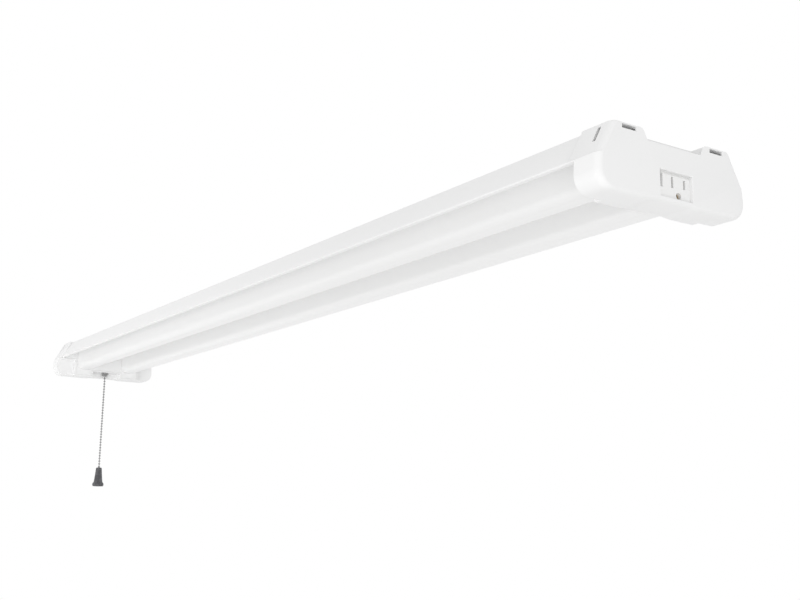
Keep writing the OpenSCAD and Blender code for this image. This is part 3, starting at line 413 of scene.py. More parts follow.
finishes = {
    "white_steel": enamel("white_enamel", WHITE_STEEL),
    "lens_plastic": milky("milky_lens", WHITE_LENS),
    "board_white": circuit("white_board", (0.82, 0.82, 0.8), (0.74, 0.74, 0.7)),
    "led_yellow": phosphor("yellow_phosphor", (0.85, 0.62, 0.16)),
    "screw_zinc": metal("zinc_plate", ZINC, 0.3),
    "driver_steel": galvanised("spangled_zinc", (0.62, 0.63, 0.64)),
    "board_green": circuit("green_board", (0.02, 0.16, 0.06), (0.05, 0.28, 0.11)),
    "core_brown": taped_core("taped_ferrite", (0.05, 0.045, 0.04), (0.6, 0.45, 0.12)),
    "capacitor_blue": sleeve("blue_sleeve", (0.02, 0.04, 0.2), (0.5, 0.55, 0.62)),
    "screw_green": green_plate("green_zinc", (0.05, 0.3, 0.1)),
    "cap_plastic": moulding("white_moulding", WHITE_CAP),
    "outlet_plastic": moulding("outlet_moulding", (0.88, 0.88, 0.875), 0.38),
    "contact_brass": metal("stamped_brass", (0.72, 0.5, 0.2), 0.28, (0.1, 1, 1)),
    "bushing_black": moulding("black_moulding", (0.03, 0.03, 0.03), 0.4),
    "switch_grey": moulding("grey_phenolic", (0.05, 0.05, 0.055), 0.5, 500, 0.04),
    "switch_fibre": fibre("pressed_fibre", (0.36, 0.2, 0.1)),
    "nipple_nickel": metal("nickel_thread", NICKEL, 0.22, (1, 1, 8)),
    "slider_nylon": moulding("natural_nylon", (0.72, 0.68, 0.52), 0.5, 900, 0.02),
    "spring_steel": metal("bright_wire", (0.55, 0.55, 0.56), 0.22),
    "ratchet_red": moulding("red_moulding", (0.42, 0.05, 0.03), 0.4),
    "chain_steel": metal("nickel_beads", NICKEL, 0.2, (1, 1, 1), 1500),
    "bell_metal": dark_bell("dark_bell_metal", BELL_GREY),
    "wire_black": insulation("black_insulation", (0.02, 0.02, 0.02)),
    "wire_white": insulation("white_insulation", (0.75, 0.75, 0.73)),
    "connector_amber": moulding("amber_moulding", (0.55, 0.36, 0.12), 0.25),
    "wire_green": insulation("green_insulation", (0.03, 0.25, 0.06)),
    "wire_red": insulation("red_insulation", (0.4, 0.02, 0.02)),
    "saddle_white": moulding("saddle_moulding", (0.78, 0.78, 0.76), 0.5),
}


# Meshes


def new_piece(name, mesh):
    """An object at the origin for a mesh that holds its own place."""
    piece = bpy.data.objects.new(name, mesh)
    scene.collection.objects.link(piece)
    return piece


def mesh_of(name, points, faces):
    mesh = bpy.data.meshes.new(name)
    mesh.from_pydata([tuple(p) for p in points], [], faces)
    mesh.update()
    return mesh


def finish_piece(piece, *replaced, smooth):
    """Paints a piece, seats it on its body and lets it stand for the nodes that it replaces."""
    slot = slot_of[replaced[0]]
    piece.data.materials.clear()
    piece.data.materials.append(finishes[slot])
    piece.data.polygons.foreach_set("material_index", [0] * len(piece.data.polygons))
    piece.data.shade_smooth()
    piece.data.set_sharp_from_angle(angle=math.radians(smooth))
    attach(piece, body_of[replaced[0]])
    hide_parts(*replaced)


def soften(piece, width):
    """Rounds a piece's edges a little, by width in millimetres, as tools and moulds leave them."""
    bevel = piece.modifiers.new("soft_edges", "BEVEL")
    bevel.width = width * MM
    bevel.segments = 2
    bevel.limit_method = "ANGLE"
    bevel.angle_limit = math.radians(40)
    bevel.use_clamp_overlap = True
    bevel.harden_normals = True
    return piece


def block(low, high):
    """The points and faces of a box between two corners in millimetres."""
    points = [
        Vector((x, y, z)) * MM
        for x in (low[0], high[0])
        for y in (low[1], high[1])
        for z in (low[2], high[2])
    ]
    faces = [(0, 1, 3, 2), (4, 6, 7, 5), (0, 4, 5, 1), (2, 3, 7, 6), (0, 2, 6, 4), (1, 5, 7, 3)]
    return points, faces


def loft(rings):
    """The points and faces of a skin over rings of equal counts, closed at both ends."""
    count = len(rings[0])
    points = [p for ring in rings for p in ring]
    faces = []
    for j in range(len(rings) - 1):
        for i in range(count):
            k = (i + 1) % count
            faces.append((j * count + i, j * count + k, (j + 1) * count + k, (j + 1) * count + i))
    faces.append(tuple(range(count - 1, -1, -1)))
    faces.append(tuple((len(rings) - 1) * count + i for i in range(count)))
    return points, faces


def ring_at(x, outline):
    """An outline in y and z set at x, in millimetres."""
    return [Vector((x, q[0], q[1])) * MM for q in outline]


def drawn_along_x(outline, low, high):
    """The points and faces of an outline in y and z drawn out from low to high, in millimetres."""
    return loft([ring_at(x, outline) for x in (low, high)])


TURNED_SIDES = 48
DRILLED_SIDES = 32


def circle_points(centre, radius, count):
    angles = [2 * math.pi * k / count for k in range(count)]
    return [(centre[0] + radius * math.cos(a), centre[1] + radius * math.sin(a)) for a in angles]


def turned(profile, centre):
    """The points and faces of a closed profile (radius, height) in millimetres, turned about Z."""
    points = [
        Vector(centre) + Vector((x, y, height)) * MM
        for radius, height in profile
        for x, y in circle_points((0, 0), radius, TURNED_SIDES)
    ]
    faces = []
    for i in range(len(profile)):
        a, b = i * TURNED_SIDES, (i + 1) % len(profile) * TURNED_SIDES
        for k in range(TURNED_SIDES):
            m = (k + 1) % TURNED_SIDES
            faces.append((a + k, b + k, b + m, a + m))
    return points, faces


def upright(centre, radius, low, high):
    """The points and faces of an upright cylinder, in millimetres."""
    ring = circle_points(centre, radius, DRILLED_SIDES)
    return loft([[Vector((x, y, z)) * MM for x, y in ring] for z in (low, high)])


def lying(centre, radius, low, high):
    """The points and faces of a cylinder along X with its axis through (y, z), in millimetres."""
    return drawn_along_x(circle_points(centre, radius, DRILLED_SIDES), low, high)


def outward(mesh):
    """Turns a closed mesh's faces outwards."""
    work = bmesh.new()
    work.from_mesh(mesh)
    bmesh.ops.recalc_face_normals(work, faces=work.faces)
    work.to_mesh(mesh)
    work.free()
    return mesh


def solid(name, shape):
    return new_piece(name, outward(mesh_of(name, *shape)))


def plain_mesh(piece):
    """A piece's mesh with its modifiers worked into it, and the modifiers removed."""
    graph = bpy.context.evaluated_depsgraph_get()
    mesh = bpy.data.meshes.new_from_object(piece.evaluated_get(graph), depsgraph=graph)
    piece.modifiers.clear()
    return mesh


def carved(piece, cuts=(), adds=()):
    """Joins shapes to a piece and then cuts others from it; each shape is points and faces."""
    for operation, shapes in (("UNION", adds), ("DIFFERENCE", cuts)):
        for shape in shapes:
            tool = solid("tool", shape)
            modifier = piece.modifiers.new("carve", "BOOLEAN")
            modifier.operation = operation
            modifier.solver = "EXACT"
            modifier.object = tool
            old, piece.data = piece.data, plain_mesh(piece)
            bpy.data.meshes.remove(old)
            bpy.data.objects.remove(tool)
    return piece


def shape_of(piece):
    """Takes a piece apart into points and faces, and removes it."""
    points = [v.co.copy() for v in piece.data.vertices]
    faces = [tuple(p.vertices) for p in piece.data.polygons]
    bpy.data.objects.remove(piece)
    return points, faces


def arc(before, at, after, radius, steps):
    """The points of the arc that rounds the corner at a place between two others."""
    at = Vector(at)
    a, b = (Vector(before) - at).normalized(), (Vector(after) - at).normalized()
    half = a.angle(b) / 2
    middle = at + (a + b).normalized() * radius / math.sin(half)
    start = at + a * radius / math.tan(half) - middle
    end = at + b * radius / math.tan(half) - middle
    first = math.atan2(start.y, start.x)
    turn = (math.atan2(end.y, end.x) - first + 3 * math.pi) % (2 * math.pi) - math.pi
    angles = [first + turn * k / steps for k in range(steps + 1)]
    return [middle + radius * Vector((math.cos(angle), math.sin(angle))) for angle in angles]


def mitred(at, a, b, t):
    """The corner at, where run a meets run b, moved by t to the left of both."""
    na, nb = Vector((-a.y, a.x)), Vector((-b.y, b.x))
    return at + (na + nb) * t / (1 + na.dot(nb))


def rounded(corners, steps):
    """A closed outline through corners (y, z, radius), each rounded by an arc."""
    outline = []
    for i, (y, z, radius) in enumerate(corners):
        before, after = corners[i - 1][:2], corners[(i + 1) % len(corners)][:2]
        outline += arc(before, (y, z), after, radius, steps)
    return outline


LEAST_R = 0.4
BEND_STEPS = 5


def inset(corners, t):
    """The corners of a clockwise outline moved in by t, with their radii."""
    moved = []
    for i, (y, z, radius) in enumerate(corners):
        at = Vector((y, z))
        a = (at - Vector(corners[i - 1][:2])).normalized()
        b = (Vector(corners[(i + 1) % len(corners)][:2]) - at).normalized()
        place = mitred(at, a, b, -t)
        bend = a.x * b.y - a.y * b.x
        moved.append((place.x, place.y, max(LEAST_R, radius + (-t if bend < 0 else t))))
    return moved


def folded(line, t, bend_r):
    """The outline of a sheet of thickness t bent along an open line, t to the left of its run."""
    path = [Vector(line[0])]
    for before, at, after in zip(line, line[1:], line[2:]):
        path += arc(before, at, after, bend_r, BEND_STEPS)
    path.append(Vector(line[-1]))
    other = []
    for i, at in enumerate(path):
        first, last = max(i, 1), min(i, len(path) - 2)
        a = (path[first] - path[first - 1]).normalized()
        b = (path[last + 1] - path[last]).normalized()
        other.append(mitred(at, a, b, t))
    return path + other[::-1]


# Sizes, in millimetres: the overall ones from the frame, the others as in the source

HALF_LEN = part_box("near_end_cap")[1].x / MM
CAP_DEPTH = HALF_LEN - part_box("near_end_cap")[0].x / MM
CAP_DROP = -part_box("near_end_cap")[0].z / MM
EAR_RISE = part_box("near_end_cap")[1].z / MM
HOUSING_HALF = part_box("housing")[1].x / MM
HOUSING_LOW_W = 2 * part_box("housing")[1].y / MM
HOUSING_H = -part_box("housing")[0].z / MM
HOUSING_TOP_W = 119
SHEET_T = 0.6
HEM_W = 5
BEND_R = 1.2
CEILING_HOLE_X = 533.5
CEILING_HOLE_R = 2.6
CAP_SCREW_AT = 22.5
CAP_SCREW_Y = 15
SCREW_HOLE_R = 2
SIDE_SLOT_AT = 11.8
SIDE_SLOT_W = 3.2
SIDE_SLOT_H = 12
SIDE_SLOT_TOP = -1.8
CAP_W = 160
OVER = 2


def both_ends(shape):
    """A shape drawn at the origin's end face, placed at the outlet end and mirrored at the other."""
    points, faces = shape
    near = [Vector((p.x + HALF_LEN * MM, p.y, p.z)) for p in points]
    far = [Vector((-p.x - HALF_LEN * MM, p.y, p.z)) for p in points]
    return [(near, faces), (far, faces)]


def side_slot():
    half = SIDE_SLOT_W / 2
    return block(
        (-SIDE_SLOT_AT - half, -CAP_W, SIDE_SLOT_TOP - SIDE_SLOT_H),
        (-SIDE_SLOT_AT + half, CAP_W, SIDE_SLOT_TOP),
    )


def make_housing():
    """The rolled channel, with its bends rounded and its holes punched."""
    low, top = HOUSING_LOW_W / 2, HOUSING_TOP_W / 2
    line = [
        (-low + HEM_W, -HOUSING_H),
        (-low, -HOUSING_H),
        (-top, 0),
        (top, 0),
        (low, -HOUSING_H),
        (low - HEM_W, -HOUSING_H),
    ]
    outline = folded(line, -SHEET_T, BEND_R)
    piece = solid("rolled_housing", drawn_along_x(outline, -HOUSING_HALF, HOUSING_HALF))
    cuts = [
        upright((x, 0), CEILING_HOLE_R, -OVER, OVER) for x in (-CEILING_HOLE_X, CEILING_HOLE_X)
    ]
    for y in (-CAP_SCREW_Y, CAP_SCREW_Y):
        cuts += both_ends(upright((-CAP_SCREW_AT, y), SCREW_HOLE_R, -OVER, OVER))
    finish_piece(carved(piece, cuts), "housing", smooth=25)


# Lenses

LENS_WALL = 1.4
LENS_CORNER_R = 7.5
LENS_LIP_R = 0.5
LENS_FOOT = 2.4
LENS_STEPS = 12


def lens_outline(y0, y1, z0, z1, t):
    """A lens's outline moved in by t, with round lower corners."""
    corners = [
        (y1 - t, z1 - t, LENS_LIP_R),
        (y1 - t, z0 + t, LENS_CORNER_R - t),
        (y0 + t, z0 + t, LENS_CORNER_R - t),
        (y0 + t, z1 - t, LENS_LIP_R),
    ]
    return rounded(corners, LENS_STEPS)


def make_lens(node, name):
    """A milky trough with round lower corners and feet turned in along its upper edges."""
    (x0, y0, z0), (x1, y1, z1) = (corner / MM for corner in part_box(node))
    piece = solid(name, drawn_along_x(lens_outline(y0, y1, z0, z1, 0), x0, x1))
    mouth = block(
        (x0 - OVER, y0 + LENS_WALL + LENS_FOOT, z1 - 2 * LENS_WALL),
        (x1 + OVER, y1 - LENS_WALL - LENS_FOOT, z1 + OVER),
    )
    room = drawn_along_x(lens_outline(y0, y1, z0, z1, LENS_WALL), x0 - OVER, x1 + OVER)
    finish_piece(carved(piece, [room, mouth]), node, smooth=25)


# End caps

CAP_WALL = 1.8
CAP_TOP_W = 123.4
CAP_MID_W = 153.4
CAP_LEDGE = 1
CAP_LOW_W = 157
CAP_SWELL = 0.8
CAP_CORNER_R = 13
CAP_ROUND = 6.5
EAR_GAP = 68
EAR_DIP = 7
EAR_R = 2
EAR_INNER_R = 5
EAR_LEAN = 4
LEDGE_R = 0.6
SWELL_R = 6
SWELL_Y = 26
SWELL_MID_Y = 18
ROUND_SIDE = 5
ROUND_TOP = 0.8
ROUND_LOW = 2
RIM_R = 0.5
RIM_STEPS = 4
HOUSING_END = 14
CAP_SIDE_DEPTH = 25
SIDE_Y = 51.6
BULK_AT = CAP_DEPTH - CAP_WALL
TONGUE_W = 44
BOSS_R = 3.6
BOSS_H = 8
PILOT_R = 1.65
PILOT_H = 7.5
HOOK_SLOT_W = 14
HOOK_SLOT_H = 3
HOOK_SLOT_Y = 46
HOOK_SLOT_TOP = 0.2
MOUTH = 0.5
POCKET_W = 44
POCKET_AT = 18.4
POCKET_Z = -42
CORNER_STEPS = 10
ROUND_STEPS = 10
SEAT = 0.1
SIDE_Z = -HOUSING_H - SEAT - CAP_WALL
LIP_DEPTH = 2

cap_half = [
    (EAR_GAP / 2 - EAR_LEAN, -EAR_DIP, EAR_R),
    (EAR_GAP / 2, EAR_RISE, EAR_INNER_R),
    (CAP_TOP_W / 2, EAR_RISE, EAR_R),
    (CAP_MID_W / 2 - CAP_LEDGE, -HOUSING_H + CAP_LEDGE / 2, LEDGE_R),
    (CAP_MID_W / 2, -HOUSING_H - CAP_LEDGE / 2, LEDGE_R),
    (CAP_LOW_W / 2, -CAP_DROP, CAP_CORNER_R),
    (SWELL_Y, -CAP_DROP, SWELL_R),
    (SWELL_MID_Y, -CAP_DROP + CAP_SWELL, SWELL_R),
]
cap_corners = cap_half + [(-y, z, r) for y, z, r in cap_half[::-1]]


def drawn_in(outline, share):
    """An outline drawn in at its sides, top and bottom, as the rounded end needs."""
    moved = []
    for q in outline:
        low = (EAR_RISE - q.y) / (EAR_RISE + CAP_DROP)
        across = q.x * (1 - share * ROUND_SIDE / (CAP_LOW_W / 2))
        moved.append(Vector((across, q.y + share * (low * ROUND_LOW - (1 - low) * ROUND_TOP))))
    return moved


def cap_skin(t, end, rim):
    """A cap's skin moved in by t, with its open edge rounded where rim isn't zero."""
    rings = []
    for k in range(RIM_STEPS if rim else 0):
        angle = math.pi / 2 * k / RIM_STEPS
        drawn = rounded(inset(cap_corners, t + rim * (1 - math.sin(angle))), CORNER_STEPS)
        rings.append(ring_at(-end + rim * (1 - math.cos(angle)), drawn))
    outline = rounded(inset(cap_corners, t), CORNER_STEPS)
    rings.append(ring_at(-end + rim, outline))
    for k in range(ROUND_STEPS, -1, -1):
        angle = math.pi / 2 * k / ROUND_STEPS
        x = -t - CAP_ROUND * (1 - math.cos(angle))
        rings.append(ring_at(x, drawn_in(outline, 1 - math.sin(angle))))
    return loft(rings)


def flared(low, high, face):
    """A slot along X from low to high whose mouth at face is opened out by MOUTH."""
    rings = []
    for x, wider in ((face - MOUTH, 0), (face + SEAT, MOUTH)):
        y0, y1, z0, z1 = low[1] - wider, high[1] + wider, low[2] - wider, high[2] + wider
        rings.append(ring_at(x, [(y0, z0), (y0, z1), (y1, z1), (y1, z0)]))
    return [block(low, high), loft(rings)]


def pocket(t):
    half = POCKET_W / 2 + t
    return block((-CAP_DEPTH - OVER, -half, -CAP_DROP - OVER), (-POCKET_AT + t, half, POCKET_Z + t))


def beside(front, inner, low, high):
    """Blocks from a cap's open edge to front, on the left and right, out past its sides."""
    back, outer = -CAP_DEPTH - OVER, CAP_LOW_W / 2 + OVER
    left = block((back, -outer, low), (front, -inner, high))
    right = block((back, inner, low), (front, outer, high))
    return [left, right]


def side_rooms(t):
    """The room beside each lens that a cap's shallower sides leave free."""
    return beside(-CAP_SIDE_DEPTH + t, SIDE_Y - t, -CAP_DROP - OVER, SIDE_Z + t)


def lips():
    """Where a cap's skin is left whole inside its open edge, so that it meets the housing's sides."""
    return beside(-CAP_DEPTH + LIP_DEPTH, SIDE_Y, SIDE_Z + CAP_WALL / 2, OVER)


def housing_room():
    low, top = HOUSING_LOW_W / 2 + SEAT, HOUSING_TOP_W / 2 + SEAT
    outline = [(-low, -HOUSING_H - SEAT), (-top, 0), (top, 0), (low, -HOUSING_H - SEAT)]
    return drawn_along_x(outline, -CAP_DEPTH - OVER, -HOUSING_END)


def cap_body(pocketed):
    """A cap at the origin with its end face at x = 0: the shell, its slots, riser and bosses."""
    walled, bare = side_rooms(CAP_WALL) + lips(), side_rooms(0)
    if pocketed:
        walled.append(pocket(CAP_WALL))
        bare.append(pocket(0))
    hollow = carved(solid("hollow", cap_skin(CAP_WALL, CAP_DEPTH + OVER, 0)), walled)
    piece = solid("cap", cap_skin(0, CAP_DEPTH, RIM_R))
    cuts = [shape_of(hollow), *bare, housing_room(), side_slot()]
    half = HOOK_SLOT_W / 2
    for y in (-HOOK_SLOT_Y, HOOK_SLOT_Y):
        low = (-CAP_ROUND - CAP_WALL, y - half, HOOK_SLOT_TOP - HOOK_SLOT_H)
        cuts += flared(low, (OVER, y + half, HOOK_SLOT_TOP), 0)
    carved(piece, cuts)
    riser = EAR_GAP / 2 + CAP_WALL
    under = -SHEET_T - SEAT
    adds = [
        block((-HOUSING_END, -riser, -EAR_DIP - CAP_WALL), (-HOUSING_END + CAP_WALL, riser, -SEAT)),
        block(
            (-BULK_AT + 3 * SEAT, -TONGUE_W / 2, under - CAP_WALL),
            (-HOUSING_END + CAP_WALL, TONGUE_W / 2, under),
        ),
    ]
    holes = []
    for y in (-CAP_SCREW_Y, CAP_SCREW_Y):
        adds.append(upright((-CAP_SCREW_AT, y), BOSS_R, under - BOSS_H, under))
        holes.append(upright((-CAP_SCREW_AT, y), PILOT_R, -PILOT_H, OVER))
    return carved(piece, holes, adds)


OUTLET_Y = 1
OUTLET_Z = -36.2
OUTLET_W = 34
OUTLET_H = 20
OUTLET_RECESS = 2.8
FLANGE_W = 38
FLANGE_H = 21.2
PAD_R = 3.2
PAD_HOLE_DEPTH = 1.4
OUTLET_SCREW_Y = 23
INLET_Y = -40
INLET_Z = -33
INLET_R = 5.45
NIPPLE_X = -585.5
NIPPLE_R = 4.05


def make_caps():
    """Both caps: the near one with the outlet's frame, the far one with its pocket and drilled."""
    near = both_ends(shape_of(cap_body(False)))[0]
    far = both_ends(shape_of(cap_body(True)))[1]
    piece = solid("moulded_cap_near", near)
    back, front = HALF_LEN - OUTLET_RECESS, HALF_LEN - CAP_WALL / 2
    frame_low = (back, OUTLET_Y - FLANGE_W / 2, OUTLET_Z - FLANGE_H / 2)
    frame_high = (front, OUTLET_Y + FLANGE_W / 2, OUTLET_Z + FLANGE_H / 2)
    adds = [block(frame_low, frame_high)]
    holes = []
    for side in (-1, 1):
        centre = (OUTLET_Y + side * OUTLET_SCREW_Y, OUTLET_Z)
        adds.append(lying(centre, PAD_R, back, front))
        holes.append(lying(centre, PILOT_R, back - OVER, back + PAD_HOLE_DEPTH))
    low = (back - OVER, OUTLET_Y - OUTLET_W / 2, OUTLET_Z - OUTLET_H / 2)
    high = (HALF_LEN + OVER, OUTLET_Y + OUTLET_W / 2, OUTLET_Z + OUTLET_H / 2)
    carved(piece, [*flared(low, high, HALF_LEN), *holes], adds)
    finish_piece(piece, "near_end_cap", smooth=30)
    piece = solid("moulded_cap_far", far)
    holes = [
        upright((NIPPLE_X, 0), NIPPLE_R, POCKET_Z - OVER, POCKET_Z + CAP_WALL + OVER),
        lying((INLET_Y, INLET_Z), INLET_R, -HALF_LEN - OVER, -HALF_LEN + CAP_WALL + OVER),
    ]
    finish_piece(carved(piece, holes), "far_end_cap", smooth=30)


GROOVE_AT = 2.4
GROOVE_W = 2.8
GROOVE_H = 12
GROOVE_DEPTH = 5
CHAMFER_W = 1.6
CHAMFER_DEPTH = 1.4


def outlet_grooves():
    """The gaps in the outlet's face: a slim latch slot down its left side and a rebate on top."""
    front = HALF_LEN - OUTLET_RECESS
    left, right = OUTLET_Y - OUTLET_W / 2, OUTLET_Y + OUTLET_W / 2
    top = OUTLET_Z + OUTLET_H / 2
    slot_left = left + GROOVE_AT
    slot_right = slot_left + GROOVE_W
    return [
        block((front - GROOVE_DEPTH, slot_left, top - GROOVE_H), (front + OVER, slot_right, top)),
        block((front - CHAMFER_DEPTH, left, top - CHAMFER_W), (front + OVER, right, top)),
    ]


def copied(node, name, bevel, cuts=()):
    """A node's own shape with its flat faces whole and its edges rounded."""
    mesh = nodes[node].data.copy()
    work = bmesh.new()
    work.from_mesh(mesh)
    bmesh.ops.remove_doubles(work, verts=work.verts, dist=1e-6)
    angle = math.radians(1)
    bmesh.ops.dissolve_limit(work, angle_limit=angle, verts=work.verts, edges=work.edges)
    work.to_mesh(mesh)
    work.free()
    finish_piece(soften(carved(new_piece(name, mesh), cuts), bevel), node, smooth=30)


# What repeats


class Tree(Recipe):
    """A geometry node tree in the making, with named sizes as its inputs."""

    def __init__(self, name, sizes):
        self.name = name
        super().__init__(bpy.data.node_groups.new(name, "GeometryNodeTree"))
        face = self.tree.interface
        face.new_socket("Geometry", in_out="INPUT", socket_type="NodeSocketGeometry")
        face.new_socket("Geometry", in_out="OUTPUT", socket_type="NodeSocketGeometry")
        self.values = {}
        for label, value in sizes.items():
            kind = "NodeSocketInt" if isinstance(value, int) else "NodeSocketFloat"
            socket = face.new_socket(label, in_out="INPUT", socket_type=kind)
            self.values[socket.identifier] = value
        self.inlet = self.node("NodeGroupInput")
        self.outlet = self.node("NodeGroupOutput")

    def size(self, label):
        return Value(self, self.inlet.outputs[label])

    def vector(self, x=0.0, y=0.0, z=0.0):
        return self.node("ShaderNodeCombineXYZ", {}, {"X": x, "Y": y, "Z": z}).outputs[0]

    def moved(self, shape, place, turn=(0.0, 0.0, 0.0)):
        inputs = {"Geometry": shape, "Translation": place, "Rotation": turn}
        return self.node("GeometryNodeTransform", {}, inputs).outputs[0]

    def joined(self, *shapes):
        join = self.node("GeometryNodeJoinGeometry")
        for shape in shapes:
            self.feed(join.inputs[0], shape)
        return join.outputs[0]

    def boolean(self, operation, whole, tool):
        node = self.node("GeometryNodeMeshBoolean", {"operation": operation})
        self.feed(node.inputs["Mesh 1" if operation == "DIFFERENCE" else "Mesh 2"], whole)
        self.feed(node.inputs["Mesh 2"], tool)
        return node.outputs[0]

    def grown(self, shape, name, finish, start=()):
        """Runs the tree on start's points and gives a plain piece, painted with finish."""
        real = self.node("GeometryNodeRealizeInstances", {}, {"Geometry": shape})
        paint = {"Geometry": real.outputs[0], "Material": finish}
        painted = self.node("GeometryNodeSetMaterial", {}, paint)
        self.feed(self.outlet.inputs[0], painted.outputs[0])
        holder = new_piece(name + "_start", mesh_of(name + "_start", start, []))
        modifier = holder.modifiers.new(self.name, "NODES")
        modifier.node_group = self.tree
        for identifier, value in self.values.items():
            modifier[identifier] = value
        mesh = plain_mesh(holder)
        bpy.data.objects.remove(holder)
        return new_piece(name, mesh)


BEAD_R = 1.6
BEAD_PITCH = 4.2
LINK_R = 0.5
LINK_GAP = 0.15
pivot = Vector(next(j for j in frame["joints"] if j["name"] == "chain_swing_x")["pos_m"])


def bead_string(name, node, top, count, link_top, link_low):
    """Hollow beads down from top, with a link through them from link_top to link_low."""
    sizes = {"Count": count, "Pitch": BEAD_PITCH * MM, "Bead radius": BEAD_R * MM}
    sizes["Link radius"] = LINK_R * MM
    tree = Tree("bead_string", sizes)
    step = tree.vector(z=tree.size("Pitch") * -1.0)
    row = tree.node("GeometryNodeMeshLine", {}, {"Count": tree.size("Count"), "Offset": step})
    ball = {"Segments": 18, "Rings": 12, "Radius": tree.size("Bead radius")}
    bead = tree.node("GeometryNodeMeshUVSphere", {}, ball)
    placed = {"Points": row.outputs[0], "Instance": bead.outputs[0]}
    beads = tree.node("GeometryNodeInstanceOnPoints", {}, placed).outputs[0]
    rod = {"Vertices": 10, "Radius": tree.size("Link radius"), "Depth": link_top - link_low}
    link = tree.node("GeometryNodeMeshCylinder", {}, rod).outputs[0]
    middle = tree.moved(link, (0, 0, (link_top + link_low) / 2 - top.z))
    whole = tree.moved(tree.joined(beads, middle), tuple(top))
    finish_piece(tree.grown(whole, name, finishes[slot_of[node]]), node, smooth=60)


def make_chain():
    """The chain in three stretches: in the switch, the bead that it swings on, and the rest."""
    pitch, radius, gap = BEAD_PITCH * MM, BEAD_R * MM, LINK_GAP * MM
    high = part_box("chain_stub")[1].z - radius
    count = round((high - pivot.z) / pitch)
    top = Vector((pivot.x, pivot.y, high))
    bead_string("stub_beads", "chain_stub", top, count, high, pivot.z + radius + gap)
    half = radius / 2
    bead_string("pivot_bead", "chain_pivot_bead", pivot, 1, pivot.z + half, pivot.z - half)
    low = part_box("pull_chain")[0].z + radius
    count = round((pivot.z - low) / pitch)
    top = pivot - Vector((0, 0, pitch))
    bead_string("hanging_beads", "pull_chain", top, count, pivot.z - radius - gap, low)


BELL_PROFILE = [
    (0.55, 0), (3.3, 0), (3.9, -0.25), (4.3, -0.8), (4.55, -2), (5, -7), (5.5, -12.5), (6.1, -18),
    (6.6, -21.6), (7, -22.8), (7.7, -23.5), (8.3, -24.2), (8.55, -25.2), (8.6, -26.2),
    (8.45, -27.5), (8, -28.4), (7.2, -28.9), (6, -29), (2.8, -29), (2.4, -28.6), (2.4, -1.2),
    (2, -0.8), (0.55, -0.8),
]
BUSH_PROFILE = [
    (3.7, -0.6), (4.2, -1.5), (5.2, -1.6), (6.2, -1.5), (6.8, -1.1), (7, -0.6), (7, -0.2),
    (6.8, 0), (5.4, 0), (5.4, 6), (5, 6.4), (4.1, 6.4), (3.7, 6),
]


def make_bell():
    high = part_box("pull_bell")[1].z
    centre = Vector((pivot.x, pivot.y, high))
    finish_piece(solid("turned_bell", turned(BELL_PROFILE, centre)), "pull_bell", smooth=50)


def make_bushing():
    """The bushing is turned about Z and then laid along X in the far end face."""
    points, faces = turned(BUSH_PROFILE, (0, 0, 0))
    lay = Matrix.Rotation(math.pi / 2, 4, "Y")
    place = Vector((-HALF_LEN, INLET_Y, INLET_Z)) * MM
    laid = [lay @ p + place for p in points]
    finish_piece(solid("inlet_bushing", (laid, faces)), "cord_bushing", smooth=40)


THREAD_PITCH = 0.9
THREAD_CREST_R = 4
THREAD_ROOT_R = 3.72
THREAD_EDGE = 0.5
NIPPLE_FOOT = [(3.2, 0.0), (3.7, 0.1)]
NIPPLE_BODY_R = 3.7
NIPPLE_BORE_R = 2.2
NIPPLE_MOUTH = [(NIPPLE_BORE_R, 1.6), (2.6, 0.4)]


def make_nipple():
    """The switch's nipple with its thread's crests and a belled mouth."""
    low, high = (c.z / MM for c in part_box("switch_nipple"))
    length = high - low
    profile = list(NIPPLE_FOOT)
    crest = THREAD_EDGE
    while crest < length - THREAD_EDGE:
        profile += [(THREAD_CREST_R, crest), (THREAD_ROOT_R, crest + THREAD_PITCH / 2)]
        crest += THREAD_PITCH
    profile += [(NIPPLE_BODY_R, length), (NIPPLE_BORE_R, length), *NIPPLE_MOUTH]
    centre = Vector((pivot.x, pivot.y, low * MM))
    finish_piece(solid("threaded_nipple", turned(profile, centre)), "switch_nipple", smooth=20)


KNURLS = 40
KNURL_DEPTH = 0.25
NUT_EDGE = 0.12


def make_ring_nut():
    """The round nut with a knurled rim, grown from a star-shaped outline."""
    low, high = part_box("ring_nut")
    radius = (high.x - low.x) / 2
    sizes = {"Knurls": KNURLS, "Radius": radius, "Height": high.z - low.z}
    tree = Tree("knurled_nut", sizes)
    rim_r = tree.size("Radius")
    inner = rim_r - KNURL_DEPTH * MM
    star = {"Points": tree.size("Knurls"), "Inner Radius": inner, "Outer Radius": rim_r}
    rim = tree.node("GeometryNodeCurveStar", {}, star)
    fill = tree.node("GeometryNodeFillCurve", {}, {0: rim.outputs[0]})
    up = {"Mesh": fill.outputs[0], "Offset Scale": tree.size("Height"), "Individual": False}
    raised = tree.node("GeometryNodeExtrudeMesh", {}, up)
    foot = tree.node("GeometryNodeFlipFaces", {}, {0: fill.outputs[0]})
    whole = tree.joined(raised.outputs[0], foot.outputs[0])
    sewn = tree.node("GeometryNodeMergeByDistance", {}, {0: whole, "Distance": 1e-6})
    place = (pivot.x, pivot.y, low.z)
    blank = tree.grown(tree.moved(sewn.outputs[0], place), "blank", finishes["nipple_nickel"])
    piece = solid("knurled_ring_nut", shape_of(blank))
    x, y = pivot.x / MM, pivot.y / MM
    carved(piece, [upright((x, y), NIPPLE_R, low.z / MM - OVER, high.z / MM + OVER)])
    finish_piece(soften(piece, NUT_EDGE), "ring_nut", smooth=30)


SCREW_HEAD_R = 3.2
SCREW_R = 1.6
SCREW_LEN = 6.5
HEAD_H = 1.3
HEAD_SIDES = 28
RIM_H = 0.65 * HEAD_H
SHOULDER_SHARE = 0.72
CROWN_SHARE = 0.4
RECESS_SHARES = (0.95, 0.24)


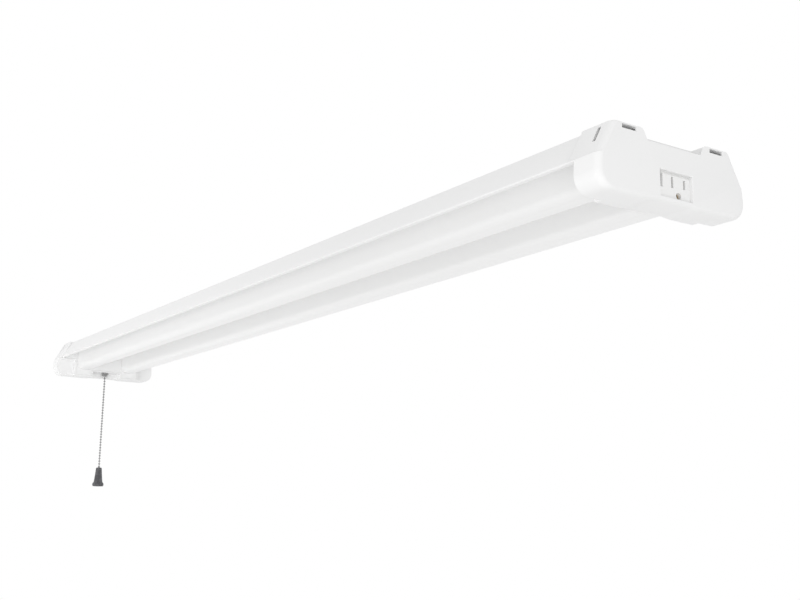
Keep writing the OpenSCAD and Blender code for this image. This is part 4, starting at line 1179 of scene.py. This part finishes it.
def make_screws():
    """The caps' pan-head screws with a cross recess, their heads on the housing's top."""
    sizes = {"Head radius": SCREW_HEAD_R * MM, "Shank radius": SCREW_R * MM, "Length": SCREW_LEN * MM}
    tree = Tree("pan_head_screws", sizes)
    radius = tree.size("Head radius")
    shoulder = radius * SHOULDER_SHARE
    rim = {"Vertices": HEAD_SIDES, "Radius Bottom": radius, "Radius Top": shoulder}
    rim["Depth"] = RIM_H * MM
    head = tree.node("GeometryNodeMeshCone", {}, rim).outputs[0]
    crown = {"Vertices": HEAD_SIDES, "Radius Bottom": shoulder, "Radius Top": radius * CROWN_SHARE}
    crown["Depth"] = (HEAD_H - RIM_H) * MM
    dome = tree.moved(tree.node("GeometryNodeMeshCone", {}, crown).outputs[0], (0, 0, RIM_H * MM))
    rod = {"Vertices": 16, "Radius": tree.size("Shank radius"), "Depth": tree.size("Length")}
    shank = tree.node("GeometryNodeMeshCylinder", {}, rod).outputs[0]
    shank = tree.moved(shank, tree.vector(z=tree.size("Length") * -0.5))
    arm = tree.vector(*(radius * share for share in RECESS_SHARES), HEAD_H * MM)
    bar = tree.node("GeometryNodeMeshCube", {}, {"Size": arm}).outputs[0]
    head = tree.boolean("UNION", head, dome)
    for turn in (0, math.pi / 2):
        head = tree.boolean("DIFFERENCE", head, tree.moved(bar, (0, 0, HEAD_H * MM), (0, 0, turn)))
    screw = tree.joined(head, shank)
    points = tree.node("GeometryNodeMeshToPoints", {}, {"Mesh": tree.inlet.outputs[0]})
    set_out = {"Points": points.outputs[0], "Instance": screw}
    screws = tree.node("GeometryNodeInstanceOnPoints", {}, set_out).outputs[0]
    places = [
        (side * (HALF_LEN - CAP_SCREW_AT) * MM, y * MM, 0)
        for side in (-1, 1)
        for y in (-CAP_SCREW_Y, CAP_SCREW_Y)
    ]
    piece = tree.grown(screws, "cap_screw_heads", finishes["screw_zinc"], places)
    finish_piece(piece, "end_cap_screws", smooth=35)


SPRING_R = 3.2
SPRING_WIRE_R = 0.35
SPRING_TURNS = 6.0


def make_spring():
    """The return spring as one coil, with the share of its height left when the chain is pulled worked out."""
    low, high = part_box("switch_spring")
    sizes = {"Turns": SPRING_TURNS, "Radius": SPRING_R * MM, "Wire radius": SPRING_WIRE_R * MM}
    sizes["Rise"] = high.z - low.z - 2 * SPRING_WIRE_R * MM
    tree = Tree("return_coil", sizes)
    coil = {"Resolution": 24, "Rotations": tree.size("Turns"), "Height": tree.size("Rise")}
    coil["Start Radius"] = coil["End Radius"] = tree.size("Radius")
    spiral = tree.node("GeometryNodeCurveSpiral", {}, coil)
    drawn = {"Resolution": 8, "Radius": tree.size("Wire radius")}
    section = tree.node("GeometryNodeCurvePrimitiveCircle", {}, drawn)
    swept = {"Curve": spiral.outputs[0], "Profile Curve": section.outputs[0], "Fill Caps": True}
    wire = tree.node("GeometryNodeCurveToMesh", {}, swept).outputs[0]
    place = (pivot.x, pivot.y, low.z + SPRING_WIRE_R * MM)
    piece = tree.grown(tree.moved(wire, place), "return_spring", finishes["spring_steel"])
    finish_piece(piece, "switch_spring", smooth=60)
    joint = next(j for j in frame["joints"] if j["name"] == "chain_pull")
    travel = joint["range_m"][1]
    fixed = joint["deforming_nodes"][0]["fixed_end_z_m"]
    keep = 1 - travel / (high.z - fixed)
    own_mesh(piece)


# Setting, in metres

FLOOR_Z = -3.4
FLOOR_R = 4.5
FLOOR_SIDES = 96
FLOOR_COLOUR = (0.86, 0.86, 0.855)


def seen_directly(recipe):
    """1 for rays from the camera and for those that a mirror or glass passes on."""
    path = recipe.node("ShaderNodeLightPath").outputs
    seen = recipe.maths("MAXIMUM", path["Is Camera Ray"], path["Is Glossy Ray"])
    return recipe.maths("MAXIMUM", seen, path["Is Transmission Ray"])


def make_floor():
    """A pale round floor well below the light, fading out towards its rim."""
    points = [(x, y, FLOOR_Z) for x, y in circle_points((0, 0), FLOOR_R, FLOOR_SIDES)]
    floor = new_piece("floor", mesh_of("floor", points, [range(FLOOR_SIDES)]))
    f = Finish("pale_floor")
    x, y = f.along("X"), f.along("Y")
    reach = f.maths("SQRT", x * x + y * y)
    fade = f.ramp(reach / FLOOR_R, [(0.0, 0.4), (0.9, 1.0)])
    grain = f.noise(3, 2)
    f.surface(Base_Color=f.mix(grain, shade(FLOOR_COLOUR, 0.99), FLOOR_COLOUR), Roughness=0.7)
    glow = f.node("ShaderNodeEmission", {}, {"Color": (1, 1, 1), "Strength": 1.0})
    both = {0: fade * seen_directly(f), 1: f.shader.outputs[0], 2: glow.outputs[0]}
    mixed = f.node("ShaderNodeMixShader", {}, both)
    f.feed(f.out.inputs["Surface"], mixed.outputs[0])
    floor.data.materials.append(f.material)


AMBIENT = 0.77


def make_world():
    """White where it is seen, and a plain soft level of light everywhere else."""
    world = bpy.data.worlds.new("studio")
    scene.world = world
    world.use_nodes = True
    studio = Recipe(world.node_tree)
    levels = []
    for strength in (AMBIENT, 1.0):
        light = {"Color": (1, 1, 1), "Strength": strength}
        levels.append(studio.node("ShaderNodeBackground", {}, light).outputs[0])
    both = {0: seen_directly(studio), 1: levels[0], 2: levels[1]}
    mixed = studio.node("ShaderNodeMixShader", {}, both)
    studio.node("ShaderNodeOutputWorld", {}, {"Surface": mixed.outputs[0]})


def soft_lamp(name, place, aim, size, power, spread=180):
    """A large square lamp at place that faces aim, its light kept within spread degrees."""
    data = bpy.data.lights.new(name, "AREA")
    data.shape = "SQUARE"
    data.size = size
    data.energy = power
    data.spread = math.radians(spread)
    lamp = bpy.data.objects.new(name, data)
    scene.collection.objects.link(lamp)
    lamp.location = place
    way = Vector(aim) - Vector(place)
    lamp.rotation_euler = way.to_track_quat("-Z", "Y").to_euler()
    lamp.visible_camera = False
    lamp.visible_glossy = False


def make_lamps():
    """Broad lamps low in front and low beyond the outlet end, and a small one at the far end."""
    soft_lamp("low_front", (-0.2, -2.6, -1.2), (0, 0, 0), 2.4, 16)
    soft_lamp("low_end", (2.4, -1.4, -1.3), (0, 0, 0), 1.6, 22)
    soft_lamp("far_end", (0.3, -1.2, -0.42), (-0.62, 0, -0.03), 0.5, 0.38, 60)


make_camera()
make_world()
make_floor()
make_lamps()
for node, obj in nodes.items():
    obj.data.materials.clear()
    obj.data.materials.append(finishes[slot_of[node]])
make_housing()
make_lens("lens_left", "milky_lens_left")
make_lens("lens_right", "milky_lens_right")
make_caps()
copied("near_bulkhead", "moulded_bulkhead_near", 0.3)
copied("far_bulkhead", "moulded_bulkhead_far", 0.3)
copied("outlet_body", "moulded_outlet", 0.25, cuts=outlet_grooves())
make_chain()
make_bell()
make_bushing()
make_nipple()
make_ring_nut()
make_screws()
make_spring()

scene.view_settings.view_transform = "Standard"
